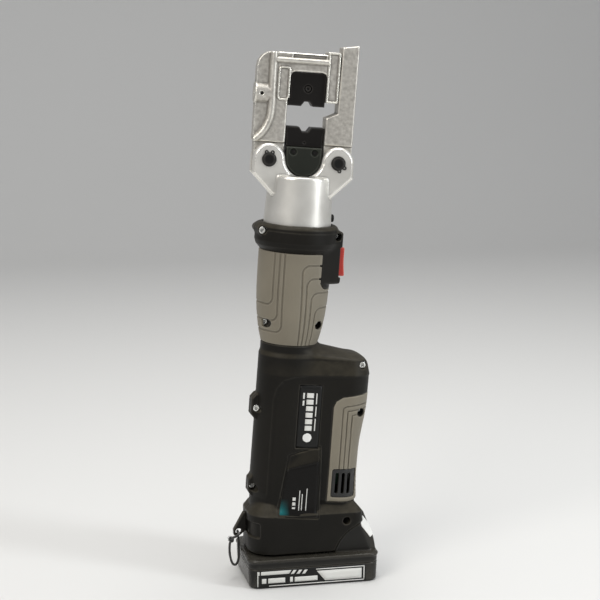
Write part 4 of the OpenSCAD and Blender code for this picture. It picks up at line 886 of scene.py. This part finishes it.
def grip_skin(p, side):
    """Rubber skin of one half of the barrel; s is the way round it in mm, from the middle of its face."""
    u, y, w = p.T
    barrel = np.hypot(u, y) - grip_radius(w)
    shape = soft_cut(soft_cut(barrel, w - SKIN_TOP, 1.2), SKIN_FOOT - w, 1.2)
    shape = without(shape, barrel + SKIN_DEPTH)
    s = np.degrees(np.arctan2(u, side * y)) * GRIP_TURN
    tilted = s + GRIP_TURN * 0.07 * (w - 250)
    corners = [(s - s0 * GRIP_TURN + GROOVE_CORNER, w0 - w + GROOVE_CORNER) for s0, w0 in LEFT_GROOVES]
    corners += [(s0 * GRIP_TURN - tilted + GROOVE_CORNER, w - w0 + GROOVE_CORNER) for s0, w0 in RIGHT_GROOVES]
    for corner in corners:
        line = rounded(np.stack(corner, 1), GROOVE_CORNER)
        shape = soft_cut(shape, -without(np.abs(line) - LINE_HALF, barrel + LINE_DEPTH), 0.5)
    shape = within(shape, 0.35 - housing(p))
    for cu, cw, _ in GRIP_SCREWS:
        shape = without(shape, within(np.hypot(u - cu, w - cw) - SCREW_RELIEF, 8.4 - side * y))
    return within(shape, RUBBER_SEAM - side * y)


for word, side in SIDES:
    grip = half_skin(word + "_grip_skin", grip_skin, side, (-35, -2, 213), (35, 35, 301), 0.65, keep=0.3)
    fit(grip, grey_rubber, "handle", word + "_grip")


# Trigger: a red moulded bar with a hollowed face, kept in the housing by its flange; a nose on its foot works
# the switch.
def trigger_shape(p):
    u, y, w = p.T
    lean_out = u + 0.05 * (w - 278)
    finger = bar(np.c_[lean_out, y, w], (39.4, 0, TRIGGER_W), (4.9, 7.45, 12.8), 1.3)
    finger = soft_cut(finger, 60 - np.hypot(lean_out - 103.7, w - TRIGGER_W), 1.0)
    flange = bar(p, (34.9, 0, 288.3), (1.0, 9.1, 14.0), 0.4)
    nose = bar(p, (33.4, 0, 275.8), (2.0, 3, 1.6), 0.3)
    return join(finger, flange, nose)


trigger_red = finish("trigger_red", (0.44, 0.024, 0.016), (0.53, 0.036, 0.023), (0.66, 0.14, 0.10), 0.36,
                     grain=1400, depth=0.00002)
trigger_bar = skin("trigger_bar", trigger_shape, (30, -11, 270), (46, 11, 306), 0.45, tool_to_row, keep=0.5)
fit(trigger_bar, trigger_red, "trigger", "trigger")


# Lanyard lug: a moulded tab of the same black nylon that stands out of the foot's end,
# with a rounded eye for the cord.
TAB = [(-56, 61), (-58.2, 61), (-67.2, 45), (-66.8, 40.2), (-62.7, 38.8), (-56, 44.5)]
EYE_X, EYE_Z, EYE_RADIUS = -62.5, 43.5, 2.8


def lug_shape(p):
    x, y, z = p.T
    eye = np.hypot(x - EYE_X, z - EYE_Z) - EYE_RADIUS
    return soft_cut(slab(outline(TAB, x, z), y, 2.95, 0.9), -eye, 0.9)


def row_metres(p):
    return p * MM


lug = skin("lanyard_lug_tab", lug_shape, (-70, -5, 36), (-53, 5, 64), 0.45, row_metres, keep=0.6)
fit(lug, black_nylon, "handle", "lanyard_lug")


# Motor, gears, pump and wiring inside the shells: turned and ground steel, a cast alloy pump, brass valves,
# black rubber and a green circuit board. They keep their CAD shapes.
METALS = [
    ("motor_steel", (0.20, 0.20, 0.20), (0.27, 0.27, 0.27), (0.5, 0.5, 0.5), 0.4, 700, ["motor_can"]),
    ("copper_winding", (0.45, 0.17, 0.08), (0.58, 0.24, 0.11), (0.8, 0.4, 0.2), 0.45, 1300, ["rotor"]),
    ("gear_steel", (0.34, 0.34, 0.35), (0.45, 0.45, 0.46), (0.7, 0.7, 0.7), 0.33, 1000,
     ["sun_gear", "planet_gear_1", "planet_gear_2", "planet_gear_3", "planet_carrier", "ring_gear",
      "eccentric_shaft", "eccentric_bearing", "shaft_bearing", "motor_bearings", "pressure_pipe",
      "pump_plunger"]),
    ("pump_alloy", (0.36, 0.37, 0.38), (0.46, 0.47, 0.48), (0.7, 0.7, 0.7), 0.5, 600,
     ["pump_block", "gearbox_cover"]),
    ("valve_brass", (0.50, 0.36, 0.13), (0.62, 0.46, 0.18), (0.8, 0.65, 0.3), 0.33, 900,
     ["relief_valve", "return_valve", "battery_terminals"]),
    ("bronze", (0.38, 0.26, 0.12), (0.48, 0.34, 0.16), (0.7, 0.5, 0.3), 0.42, 900, ["swivel_ring"]),
    ("spring_steel", (0.30, 0.30, 0.30), (0.40, 0.40, 0.40), (0.6, 0.6, 0.6), 0.36, 1600,
     ["plunger_spring", "trigger_spring", "latch_spring", "ram_return_spring", "die_lock_spring"])]
MOULDED = [
    ("seal_rubber", (0.010, 0.010, 0.010), (0.020, 0.020, 0.020), (0.04, 0.04, 0.04), 0.7, 900,
     ["oil_bladder", "rod_wiper", "ram_seal"]),
    ("board_green", (0.010, 0.075, 0.030), (0.016, 0.11, 0.045), (0.1, 0.2, 0.1), 0.45, 500,
     ["control_board"]),
    ("switch_black", (0.012, 0.012, 0.013), (0.02, 0.02, 0.021), (0.05, 0.05, 0.05), 0.5, 1200,
     ["trigger_switch", "terminal_block"]),
    ("cell_wrap", (0.03, 0.16, 0.21), (0.045, 0.21, 0.27), (0.2, 0.4, 0.45), 0.3, 600, ["battery_cells"])]


def dress(material, names):
    """Gives CAD pieces that are shown as they are a finish."""
    for name in names:
        paint(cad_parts[name], material)


for table, metal in ((METALS, 1.0), (MOULDED, 0.0)):
    for name, dark, light, worn_and_highlight_tone, rough, grain, names in table:
        dress(finish(name, dark, light, worn_and_highlight_tone, rough, metal=metal, grain=grain), names)


# Head: a forged steel cylinder, bead blasted and zinc coloured, with two forked ears. It turns in the collar
# on a flanged spigot, and its bore holds the ram.
HEAD_TURN = math.radians(-6)
CYLINDER_FOOT, CYLINDER_TOP = 318, 364
HINGE_U, HINGE_W = 30.1, 377
EAR_RADIUS, EAR_HALF = 14, 17
EAR_SKIRT = [(-44.1, 377), (-44.1, 364), (-26, 346), (26, 346), (44.1, 364), (44.1, 377)]
THROAT, THROAT_W = 16.1, 379
FORK_HALF, PIN_HOLE = 9.7, 5.45
SPIGOT, FLANGE = 24, 26
BORE, ROD_HOLE, WIPER_SEAT, OIL_PORT = 18.5, 11.05, 14, 5.05
STOP_TURN, STOP_W, STOP_HOLE = math.radians(14), 327, 2.63


def head_to_row(p):
    """Points on the head, which is turned on its swivel, to metres in the row frame."""
    c, s = math.cos(HEAD_TURN), math.sin(HEAD_TURN)
    return tool_to_row(np.c_[p[:, 0] * c - p[:, 1] * s, p[:, 0] * s + p[:, 1] * c, p[:, 2]])


def chamfered(flat, across, half, cut):
    """Distance to a flat outline made half thick each way, with its edges cut at 45 degrees."""
    face = np.abs(across) - half
    return within(flat, face, (flat + face + cut) * 0.7071)


def yoke(p):
    """Cylinder, spigot and ears in one."""
    u, y, w = p.T
    r = np.hypot(u, y)
    from_pin = np.hypot(np.abs(u) - HINGE_U, w - HINGE_W)
    throat = join(np.hypot(u, w - THROAT_W) - THROAT, within(np.abs(u) - THROAT, THROAT_W - w))
    ears = without(join(from_pin - EAR_RADIUS, outline(EAR_SKIRT, u, w)), throat)
    barrel = r - np.interp(w, [CYLINDER_FOOT, CYLINDER_TOP], [29.9, 28.0])
    barrel = within(soft_cut(barrel, w - CYLINDER_TOP, 3), 318.2 - w)
    whole = soft_join(barrel, chamfered(ears, y, EAR_HALF, 2.2), 1.2)
    whole = join(whole, within(r - SPIGOT, np.abs(w - 302) - 19), within(r - FLANGE, np.abs(w - 284.7) - 1.7))
    along = u * math.cos(STOP_TURN) + y * math.sin(STOP_TURN)
    aside = y * math.cos(STOP_TURN) - u * math.sin(STOP_TURN)
    holes = [within(np.abs(y) - FORK_HALF, 362.4 - w), within(r - BORE, np.abs(w - 317.5) - 27.5),
             within(r - ROD_HOLE, 290 - w), within(r - WIPER_SEAT, 353 - w), within(r - OIL_PORT, w - 291),
             within(throat, np.abs(y) - 17.2), from_pin - PIN_HOLE,
             within(np.hypot(aside, w - STOP_W) - STOP_HOLE, 21.4 - along)]
    return without(whole, *holes)


# Blasted steel: hollows darkened with painted shade, ridges lightened by wear and a painted highlight.
blasted_steel = finish("blasted_steel", (0.68, 0.665, 0.62), (0.77, 0.755, 0.71), (0.93, 0.91, 0.85), 0.36,
                       grain=1100, depth=0.00005, metal=0.72, wear_and_highlight=0.9, hollow_shade=0.6, drift=40)
head_part = skin("head_forging", yoke, (-47, -32, 280), (47, 32, 394), 0.75, head_to_row, keep=0.25)
fit(head_part, blasted_steel, "head", "head_yoke")


# Hinge pins, circlips and stop screw: hardened steel with a black oxide skin; the circlips snap into grooves
# at the pins' ends. The screw keeps its CAD shape.
PIN_RADIUS, PIN_HALF = 5.4, 19.4
CLIP_Y = 17.75
CLIP_GAP = math.radians(22)


def hinge_pin(p):
    """A pin along Y with a groove near each end."""
    u, y, w = p.T
    r = np.hypot(u, w)
    groove = within(np.abs(np.abs(y) - CLIP_Y) - 0.58, 4.4 - r)
    return without(chamfered(r - PIN_RADIUS, y, PIN_HALF, 0.6), groove)


def circlip(p, opening):
    """A split ring at each end, with two holed lugs beside the opening."""
    u, y, w = p.T
    r = np.hypot(u, w)
    turn = np.abs((np.arctan2(w, u) - opening + math.pi) % (2 * math.pi) - math.pi)
    ring = within(np.abs(r - 5.35) - 0.9, CLIP_GAP * r - turn * r)
    lug = np.hypot(r * np.cos(turn) - 6.1, r * np.sin(turn) - 2.6) - 1.75
    ring = without(join(ring, lug), lug + 1.0)
    return slab(ring, np.abs(y) - CLIP_Y, 0.5, 0.15)


black_oxide = finish("black_oxide", (0.005, 0.0046, 0.0042), (0.009, 0.0083, 0.0076), (0.07, 0.066, 0.06),
                     0.45, grain=900, wear_and_highlight=0.3, gloss=0.2)
for word, side, opening in (("frame", -1, 1.57), ("latch", 1, -0.96)):
    def at_hinge(p, s=side):
        return head_to_row(p + np.array([s * HINGE_U, 0, HINGE_W]))

    pin = skin(word + "_hinge_pin", hinge_pin, (-8, -21, -8), (8, 21, 8), 0.5, at_hinge, keep=0.35)
    fit(pin, black_oxide, "head", word + "_pin")
    clip = skin(word + "_hinge_circlips", lambda p, a=opening: circlip(p, a), (-10, -20, -10), (10, 20, 10),
                0.4, at_hinge, keep=0.5)
    fit(clip, black_oxide, "head")
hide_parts("pin_circlips")
dress(black_oxide, ["stop_screw"])


# Swing frame: a forging with a curved rib down its outer limb, a framed slot beside the die, a raised rib
# across the top and a boxed hook on its free end; the round boss on its side holds the die lock.
FRAME = [(-45, 391.6), (-17.2, 391.6), (-17.2, 430.3), (-15.8, 430.3), (-15.8, 449), (-14.54, 452.04),
         (-11.5, 453.3), (11.5, 453.3), (14.54, 452.04), (15.8, 449), (15.8, 428), (26.2, 428), (26.2, 471.5),
         (15.2, 471.5), (15.2, 469), (-32, 469), (-36.98, 468), (-41.19, 465.19), (-44.01, 460.97),
         (-45, 456)]
LIMB_RIB = [(-31.3, 470, 0), (-31.2, 455, 0), (-31, 440, 0), (-30.6, 424, 0), (-31.4, 413, 0),
            (-34.5, 404, 0), (-39.5, 397, 0), (-46, 391.5, 0)]
LIMB_RIB = smooth_line(LIMB_RIB, 4)[:, :2]
TOP_RIB = np.array([(-31, 462.4), (16, 462.4)])
FRAME_TONGUE = [(-16.8, 377), (-17.2, 395.6), (-44, 395.6), (-43.4, 377)]
FORGED_HALF, TONGUE_HALF = 12, 9.5
TONGUE_RADIUS, HINGE_HOLE = 13.3, 6.06
DIE_LOCK_W, LOCK_HOLE, LOCK_SEAT = 433, 2.56, 4.26
WEB_HALF, FIELD_HALF, RING_HALF, RIB_RADIUS = 9.4, 11.2, 12.9, 3.1


def rib_distance(path, u, w):
    """Distance to a line through points in the plane of the frame."""
    best = np.full(u.shape, 1e9)
    for a, b in zip(path[:-1], path[1:]):
        e = b - a
        t = np.clip(((u - a[0]) * e[0] + (w - a[1]) * e[1]) / (e @ e), 0, 1)
        best = join(best, np.hypot(u - a[0] - e[0] * t, w - a[1] - e[1] * t))
    return best


def hinge_tongue(u, y, w, side, root):
    """Round-ended tongue on a hinge pin, and the way from the pin's middle."""
    from_pin = np.hypot(u - side * HINGE_U, w - HINGE_W)
    tongue = join(from_pin - TONGUE_RADIUS, outline(root, u, w))
    return chamfered(tongue, y, TONGUE_HALF, 0.5), from_pin


def swing_frame(p):
    """Frame with its web, ribs, framed fields, tongue and boss."""
    u, y, w = p.T
    flat = outline(FRAME, u, w)
    shape = chamfered(flat, y, FORGED_HALF, 0.9)
    web = outline(LIMB_RIB.tolist() + [(-54, 391.5), (-54, 478), (-31.3, 478)], u, w)
    shape = without(shape, within(web, WEB_HALF - np.abs(y)))
    rib_line = join(rib_distance(LIMB_RIB, u, w), rib_distance(TOP_RIB, u, w) + 0.5)
    ribs = np.hypot(rib_line, np.maximum(np.abs(y) - 11.0, 0)) - RIB_RADIUS
    shape = soft_join(shape, within(ribs, flat + 0.2), 0.8)
    slot = plate_box(u, w, (-21.4, 442.6), (5.3, 14.6), 3.4)
    hook = plate_box(u, w, (21, 449.7), (5.2, 21.7), 1.6)
    for ring in (slot, hook):
        shape = join(shape, slab(within(np.abs(ring + 0.8) - 0.8, flat), y, RING_HALF, 0.45))
        shape = without(shape, within(ring + 1.6, FIELD_HALF - np.abs(y)))
    strip = plate_box(u, w, (-0.5, 466.5), (14.5, 1.5), 0.3)
    shape = without(shape, within(strip, 9.5 - np.abs(y)))
    tongue, from_pin = hinge_tongue(u, y, w, -1, FRAME_TONGUE)
    shape = join(shape, tongue)
    boss = np.hypot(np.maximum(np.abs(y) - 4.8, 0), w - DIE_LOCK_W) - 9.3
    boss = soft_cut(soft_cut(boss, -45.8 - u, 1.2), u + 29.6, 1.2)
    shape = soft_join(shape, boss, 0.6)
    from_lock = np.hypot(y, w - DIE_LOCK_W)
    holes = [from_pin - HINGE_HOLE, within(from_lock - LOCK_HOLE, u),
             within(from_lock - LOCK_SEAT, np.abs(u + 30.9) - 9.1),
             within(np.hypot(u + 40, w - DIE_LOCK_W) - 1.6, 4.6 - np.abs(y))]
    return without(shape, *holes)


# Forged steel: ridges such as the limb rib lightened by wear and a painted highlight, hollows darkened with
# painted shade.
forged_steel = finish("forged_steel", (0.40, 0.378, 0.342), (0.62, 0.598, 0.55), (0.92, 0.90, 0.82), 0.46,
                      grain=560, depth=0.0003, metal=0.8, wear_and_highlight=0.75, hollow_shade=0.7, drift=330)
frame_part = skin("swing_frame_forging", swing_frame, (-49, -16, 361), (29, 16, 474), 0.62, head_to_row,
                  keep=0.25)
fit(frame_part, forged_steel, "frame", "swing_frame")
dress(zinc, ["die_lock_plunger"])


# Dies: hardened steel blocks with a black oxide skin and half a hexagon in the parting face. The upper one
# sits in the frame with a button screw through its middle, the lower one on the ram.
UPPER_FOOT = [(-16.5, 424), (15.25, 424), (15.25, 436), (-15.25, 436), (-15.25, 430), (-16.5, 430)]
UPPER_FACE, LOWER_FACE = 424, 406
DIE_HALF, DIE_SCREW_W = 10, 439


def half_hexagon(u, w, level, up):
    """Notch in a parting face at a level, open the other way from up."""
    return outline([(-5.2, level - up), (-5.2, level), (-2.4, level + 4 * up), (2.4, level + 4 * up),
                    (5.2, level), (5.2, level - up)], u, w)


def upper_die(p):
    u, y, w = p.T
    flat = join(plate_box(u, w, (0, 440), (15.25, 12.95), 4), outline(UPPER_FOOT, u, w))
    flat = without(flat, half_hexagon(u, w, UPPER_FACE, 1))
    shape = chamfered(flat, y, DIE_HALF, 0.5)
    r = np.hypot(u, w - DIE_SCREW_W)
    shape = without(shape, within(r - 3.4, 8.6 - np.abs(y)))
    button = without(slab(r - 2.7, y, 9.6, 0.7), within(r - 1.2, 8.4 - np.abs(y)))
    shape = join(shape, button)
    return without(shape, within(np.hypot(y, w - DIE_LOCK_W) - 2.6, u + 12.2))


def lower_die(p):
    u, y, w = p.T
    stem = outline(rectangle(-15.9, 15.9, 389.06, 402), u, w)
    flat = join(stem, outline(rectangle(-16.6, 16.6, 400, LOWER_FACE), u, w))
    flat = without(flat, half_hexagon(u, w, LOWER_FACE, -1))
    dimple = within(np.hypot(u, w - 392.6) - 0.9, 9.2 - np.abs(y))
    return without(chamfered(flat, y, DIE_HALF, 0.5), dimple)


die_black = finish("die_black", (0.0045, 0.0038, 0.0033), (0.0078, 0.0068, 0.006), (0.06, 0.055, 0.05), 0.42,
                   grain=1500, depth=0.00003, wear_and_highlight=0.3, gloss=0.2)
for node, shape, low, high, body in (("upper_die", upper_die, (-18, -12, 422), (17, 12, 455), "frame"),
                                     ("lower_die", lower_die, (-18, -12, 387), (18, 12, 408), "ram")):
    die = skin(node + "_block", shape, low, high, 0.45, head_to_row, keep=0.2)
    fit(die, die_black, body, node)


# Latch arm: a rough forged plate on the right hinge pin that closes over the frame's hook; its bare face
# keeps the texture of the forging.
LATCH = [(17.2, 391.6), (42, 391.6), (42, 478.5), (27.4, 476.2), (26.8, 419.5), (22.8, 417.5), (17.2, 415)]
LATCH_TONGUE = [(16.8, 377), (17.2, 395.6), (42, 395.6), (42, 377)]


def latch_arm(p):
    u, y, w = p.T
    tongue, from_pin = hinge_tongue(u, y, w, 1, LATCH_TONGUE)
    shape = join(chamfered(outline(LATCH, u, w), y, FORGED_HALF, 0.9), tongue)
    return without(shape, from_pin - HINGE_HOLE, within(from_pin - 8.6, 5.5 - y))


latch_steel = finish("latch_steel", (0.40, 0.378, 0.342), (0.60, 0.578, 0.53), (0.78, 0.76, 0.70), 0.48,
                     grain=560, depth=0.0003, metal=0.8, wear_and_highlight=0.4, hollow_shade=0.7, drift=330)
latch_part = skin("latch_forging", latch_arm, (13, -14, 361), (46, 14, 482), 0.62, head_to_row, keep=0.15)
fit(latch_part, latch_steel, "latch", "latch_arm")


# Ram: a ground piston and rod whose round-footed head carries the lower die; the head is phosphated a dark
# grey green, and two dowels keep the die on it.
RAM_ROUND, RAM_TOP, RAM_HALF = 15.3, 388.95, 14.5
PISTON, PISTON_W, ROD = 18.44, 296, 11
DOWEL_U, DOWEL_W = 9.4, 384.5


def ram_shape(p):
    u, y, w = p.T
    r = np.hypot(u, y)
    head = join(np.hypot(u, w - THROAT_W) - RAM_ROUND, within(np.abs(u) - RAM_ROUND, THROAT_W - w))
    head = chamfered(within(head, w - RAM_TOP), y, RAM_HALF, 0.9)
    piston = within(r - PISTON, np.abs(w - PISTON_W) - 5)
    rod = within(r - ROD, np.abs(w - 335) - 44)
    seal = within(np.abs(w - PISTON_W) - 1.5, 15.9 - r)
    across = np.hypot(np.abs(u) - DOWEL_U, w - DOWEL_W)
    dowels = join(across - 1.82, within(across - 3.0, 13.2 - np.abs(y)))
    return without(join(head, piston, rod), seal, dowels)


phosphate = finish("dark_phosphate", (0.009, 0.0105, 0.0075), (0.0145, 0.0165, 0.012), (0.07, 0.075, 0.06),
                   0.46, grain=1200, wear_and_highlight=0.35, gloss=0.25)
ram_part = skin("ram_piece", ram_shape, (-20, -20, 288), (20, 20, 391), 0.62, head_to_row, keep=0.2)
fit(ram_part, phosphate, "ram", "ram")
dress(black_oxide, ["die_dowels"])


# Battery: a tray and a cover moulded in black nylon. The cover has a rounded bead round its rim, the rail
# that slides into the foot, and a sloped nose with cut corners that closes the foot's end.
BATTERY_HALF, BATTERY_CORNER = (59, 37.5), 9.5
TRAY_TOP, CASE_WALL = 18, 2.2
RIM_TOP, BEAD_Z, BEAD_RADIUS = 26.6, 24.6, 1.9
NOSE = [(0, 25), (58.9, 25), (58.9, 30), (57.4, 38.6), (51.4, 53.5), (0, 53.5)]
CREST = [(46.5, 38), (58.9, 30), (57.4, 38.6), (48.2, 61.5), (46.5, 61.5)]
SLOPE_X, SLOPE_Z = 52.8, 50.05
SLOPE_RUN, SLOPE_RISE = 0.3725, 0.9271
NOSE_SIDE, NOSE_CUT = 29, 8
RAIL_SLITS = (-12, -4, 4, 12)
BUTTON_Z = 22.5


def battery_plan(x, y, inset):
    half_x, half_y = BATTERY_HALF
    return plate_box(x, y, (0, 0), (half_x - inset, half_y - inset), max(BATTERY_CORNER - inset, 0.5))


def battery_side(p):
    """Outside of the tray, drawn in a little towards the bottom."""
    return battery_plan(p[:, 0], p[:, 1], 0.15) + np.clip((TRAY_TOP - p[:, 2]) / TRAY_TOP, 0, 1) * 0.8


def battery_tray(p):
    x, y, z = p.T
    shape = soft_cut(soft_cut(battery_side(p), -z, 3.0), z - 17.9, 0.6)
    return without(shape, within(battery_plan(x, y, CASE_WALL), 2 - z))


def nose_front(p):
    """Places along the nose's slope and out of it, and the distance to the slope with its two cut corners."""
    x, y, z = p.T
    along = (z - SLOPE_Z) * SLOPE_RISE - (x - SLOPE_X) * SLOPE_RUN
    out = (x - SLOPE_X) * SLOPE_RISE + (z - SLOPE_Z) * SLOPE_RUN
    return along, out, within(out, (out + np.abs(y) - (NOSE_SIDE - NOSE_CUT)) * 0.7071)


def nose_block(p):
    """Nose in the foot's arch, and its crest in front of the foot's end."""
    x, y, z = p.T
    nose = soft_cut(outline(NOSE, x, z), np.hypot(x - ARCH_X, z - ARCH_Z) - 37.6, 1.0)
    flanks = soft_cut(join(nose, outline(CREST, x, z)), np.abs(y) - NOSE_SIDE, 2.0)
    return soft_cut(flanks, nose_front(p)[2], 1.5)


def battery_top(p):
    x, y, z = p.T
    plan = battery_plan(x, y, 0.1)
    rim = soft_cut(soft_cut(plan, 18.15 - z, 0.6), z - RIM_TOP, 2.5)
    rim = soft_join(rim, np.hypot(plan + 1.0, z - BEAD_Z) - BEAD_RADIUS, 0.5)
    rail = bar(p, (-10, 0, 31.8), (32, 20, 4.8), 0.6)
    shape = soft_join(join(rim, rail), nose_block(p), 1.5)
    hollow = without(within(battery_plan(x, y, CASE_WALL), z - 25), bar(p, (58, 0, 25), (10, 19, 9), 0.3))
    across_slits = join(*[np.abs(y - k) for k in RAIL_SLITS]) - 1.2
    slits = within(across_slits, x + 16.5, 29.6 - z)
    push = bar(p, (52.35, 0, BUTTON_Z), (2.35, 15.3, 3.5), 0.2)
    push = join(push, bar(p, (62, 0, BUTTON_Z), (12, 13.3, 3.5), 0.4))
    return without(shape, hollow, slits, push)


# Battery: the rim bead's ridge lightened by wear and a painted highlight, faces that look up lightened with
# painted top light.
battery_black = finish("battery_black", (0.006, 0.0056, 0.0045), (0.010, 0.0093, 0.0075),
                       (0.055, 0.052, 0.045), 0.36, grain=1800, depth=0.00005, wear_and_highlight=0.7, gloss=0.26, top_light=0.5)
for name, node, shape, low, high, keep in (
        ("battery_tray", "battery_case", battery_tray, (-62, -41, -3), (62, 41, 21), 0.15),
        ("battery_top", "battery_cover", battery_top, (-62, -41, 15), (63, 41, 65), 0.2)):
    case = skin(name, shape, low, high, 0.8, row_metres, keep=keep)
    fit(case, battery_black, "battery", node)


# Battery label: a printed film on each long side. The real one carries words and figures; this one keeps its
# white outline, bar, slanted stripes and block, and plain short bars where words would be.
LABEL_FILM = rectangle(-53.2, 46.6, 1.6, 17.0)
LABEL_PRINT = [rectangle(-52, -51.2, 2.2, 16.2), rectangle(44.6, 45.4, 2.2, 15.6),
               rectangle(-52, 45.4, 2.2, 3), rectangle(1, 45.4, 14.9, 15.7),
               [(-51.2, 12.9), (-23.6, 12.9), (-21.4, 16.2), (-51.2, 16.2)],
               [(-22.0, 12.4), (-19.2, 12.4), (-16.8, 16.0), (-19.6, 16.0)],
               [(-16.9, 12.2), (-14.1, 12.2), (-11.7, 15.8), (-14.5, 15.8)],
               [(-11.8, 12.0), (-9.0, 12.0), (-6.6, 15.6), (-9.4, 15.6)],
               [(9.4, 4.2), (42.8, 4.2), (42.8, 13.7), (1.6, 13.7)],
               rectangle(-48, -44, 5, 9.6), rectangle(-42.4, -27, 5, 9.6),
               rectangle(-22.6, -20, 5, 9.8), rectangle(-18.4, 2.4, 5, 9.4)]
for word, side in SIDES:
    backing = sheet_on(word + "_battery_label", LABEL_FILM, battery_side, 0.06, 0.25, side, row_metres,
                       (30, 4))
    fit(backing, plate_black, "battery")
    print_marks(word + "_battery_print", LABEL_PRINT, battery_side, 0.11, 0.1, side, row_metres, (8, 3),
                "battery")


# Nose plate: a pale bare plate glued over the lower half of the battery's slope, with a horn up each
# of its cut corners.
PLATE_FIELD = [(11.6, 0.7), (9.6, -2.2), (2.4, -3.6), (-12, 0.1), (-12, 20), (0.4, 20), (0.4, 3.7)]


def nose_plate(p):
    along, out, front = nose_front(p)
    field = outline(PLATE_FIELD, along, (out + NOSE_SIDE - np.abs(p[:, 1])) / 2)
    return without(soft_cut(within(nose_block(p), front) - 0.5, field, 0.5), front + 0.6)


pale_plate = finish("pale_plate", (0.70, 0.70, 0.66), (0.80, 0.80, 0.76), (0.88, 0.88, 0.86), 0.4, grain=500,
                    depth=0.00001)
plate = skin("nose_plate", nose_plate, (44, -31, 24), (63, 31, 66), 0.55, row_metres, keep=0.3)
fit(plate, pale_plate, "battery")


# Release button: a push button moulded in black nylon with upright ribs, in the battery's end.
# A flange behind the wall keeps it in.
def push_button(p):
    x, y, z = p.T
    knob = bar(p, (56.5, 0, BUTTON_Z), (3.7, 13, 3.2), 0.7)
    flange = bar(p, (53.7, 0, BUTTON_Z), (0.9, 15, 3.2), 0.2)
    groove = within(np.abs((y + 1.5) % 3 - 1.5) - 0.5, 59.6 - x, np.abs(y) - 10.6)
    return without(join(knob, flange), groove)


button = skin("push_button", push_button, (51, -17, 17), (62, 17, 28), 0.45, row_metres, keep=0.5)
fit(button, slat_black, "battery_button", "release_button")
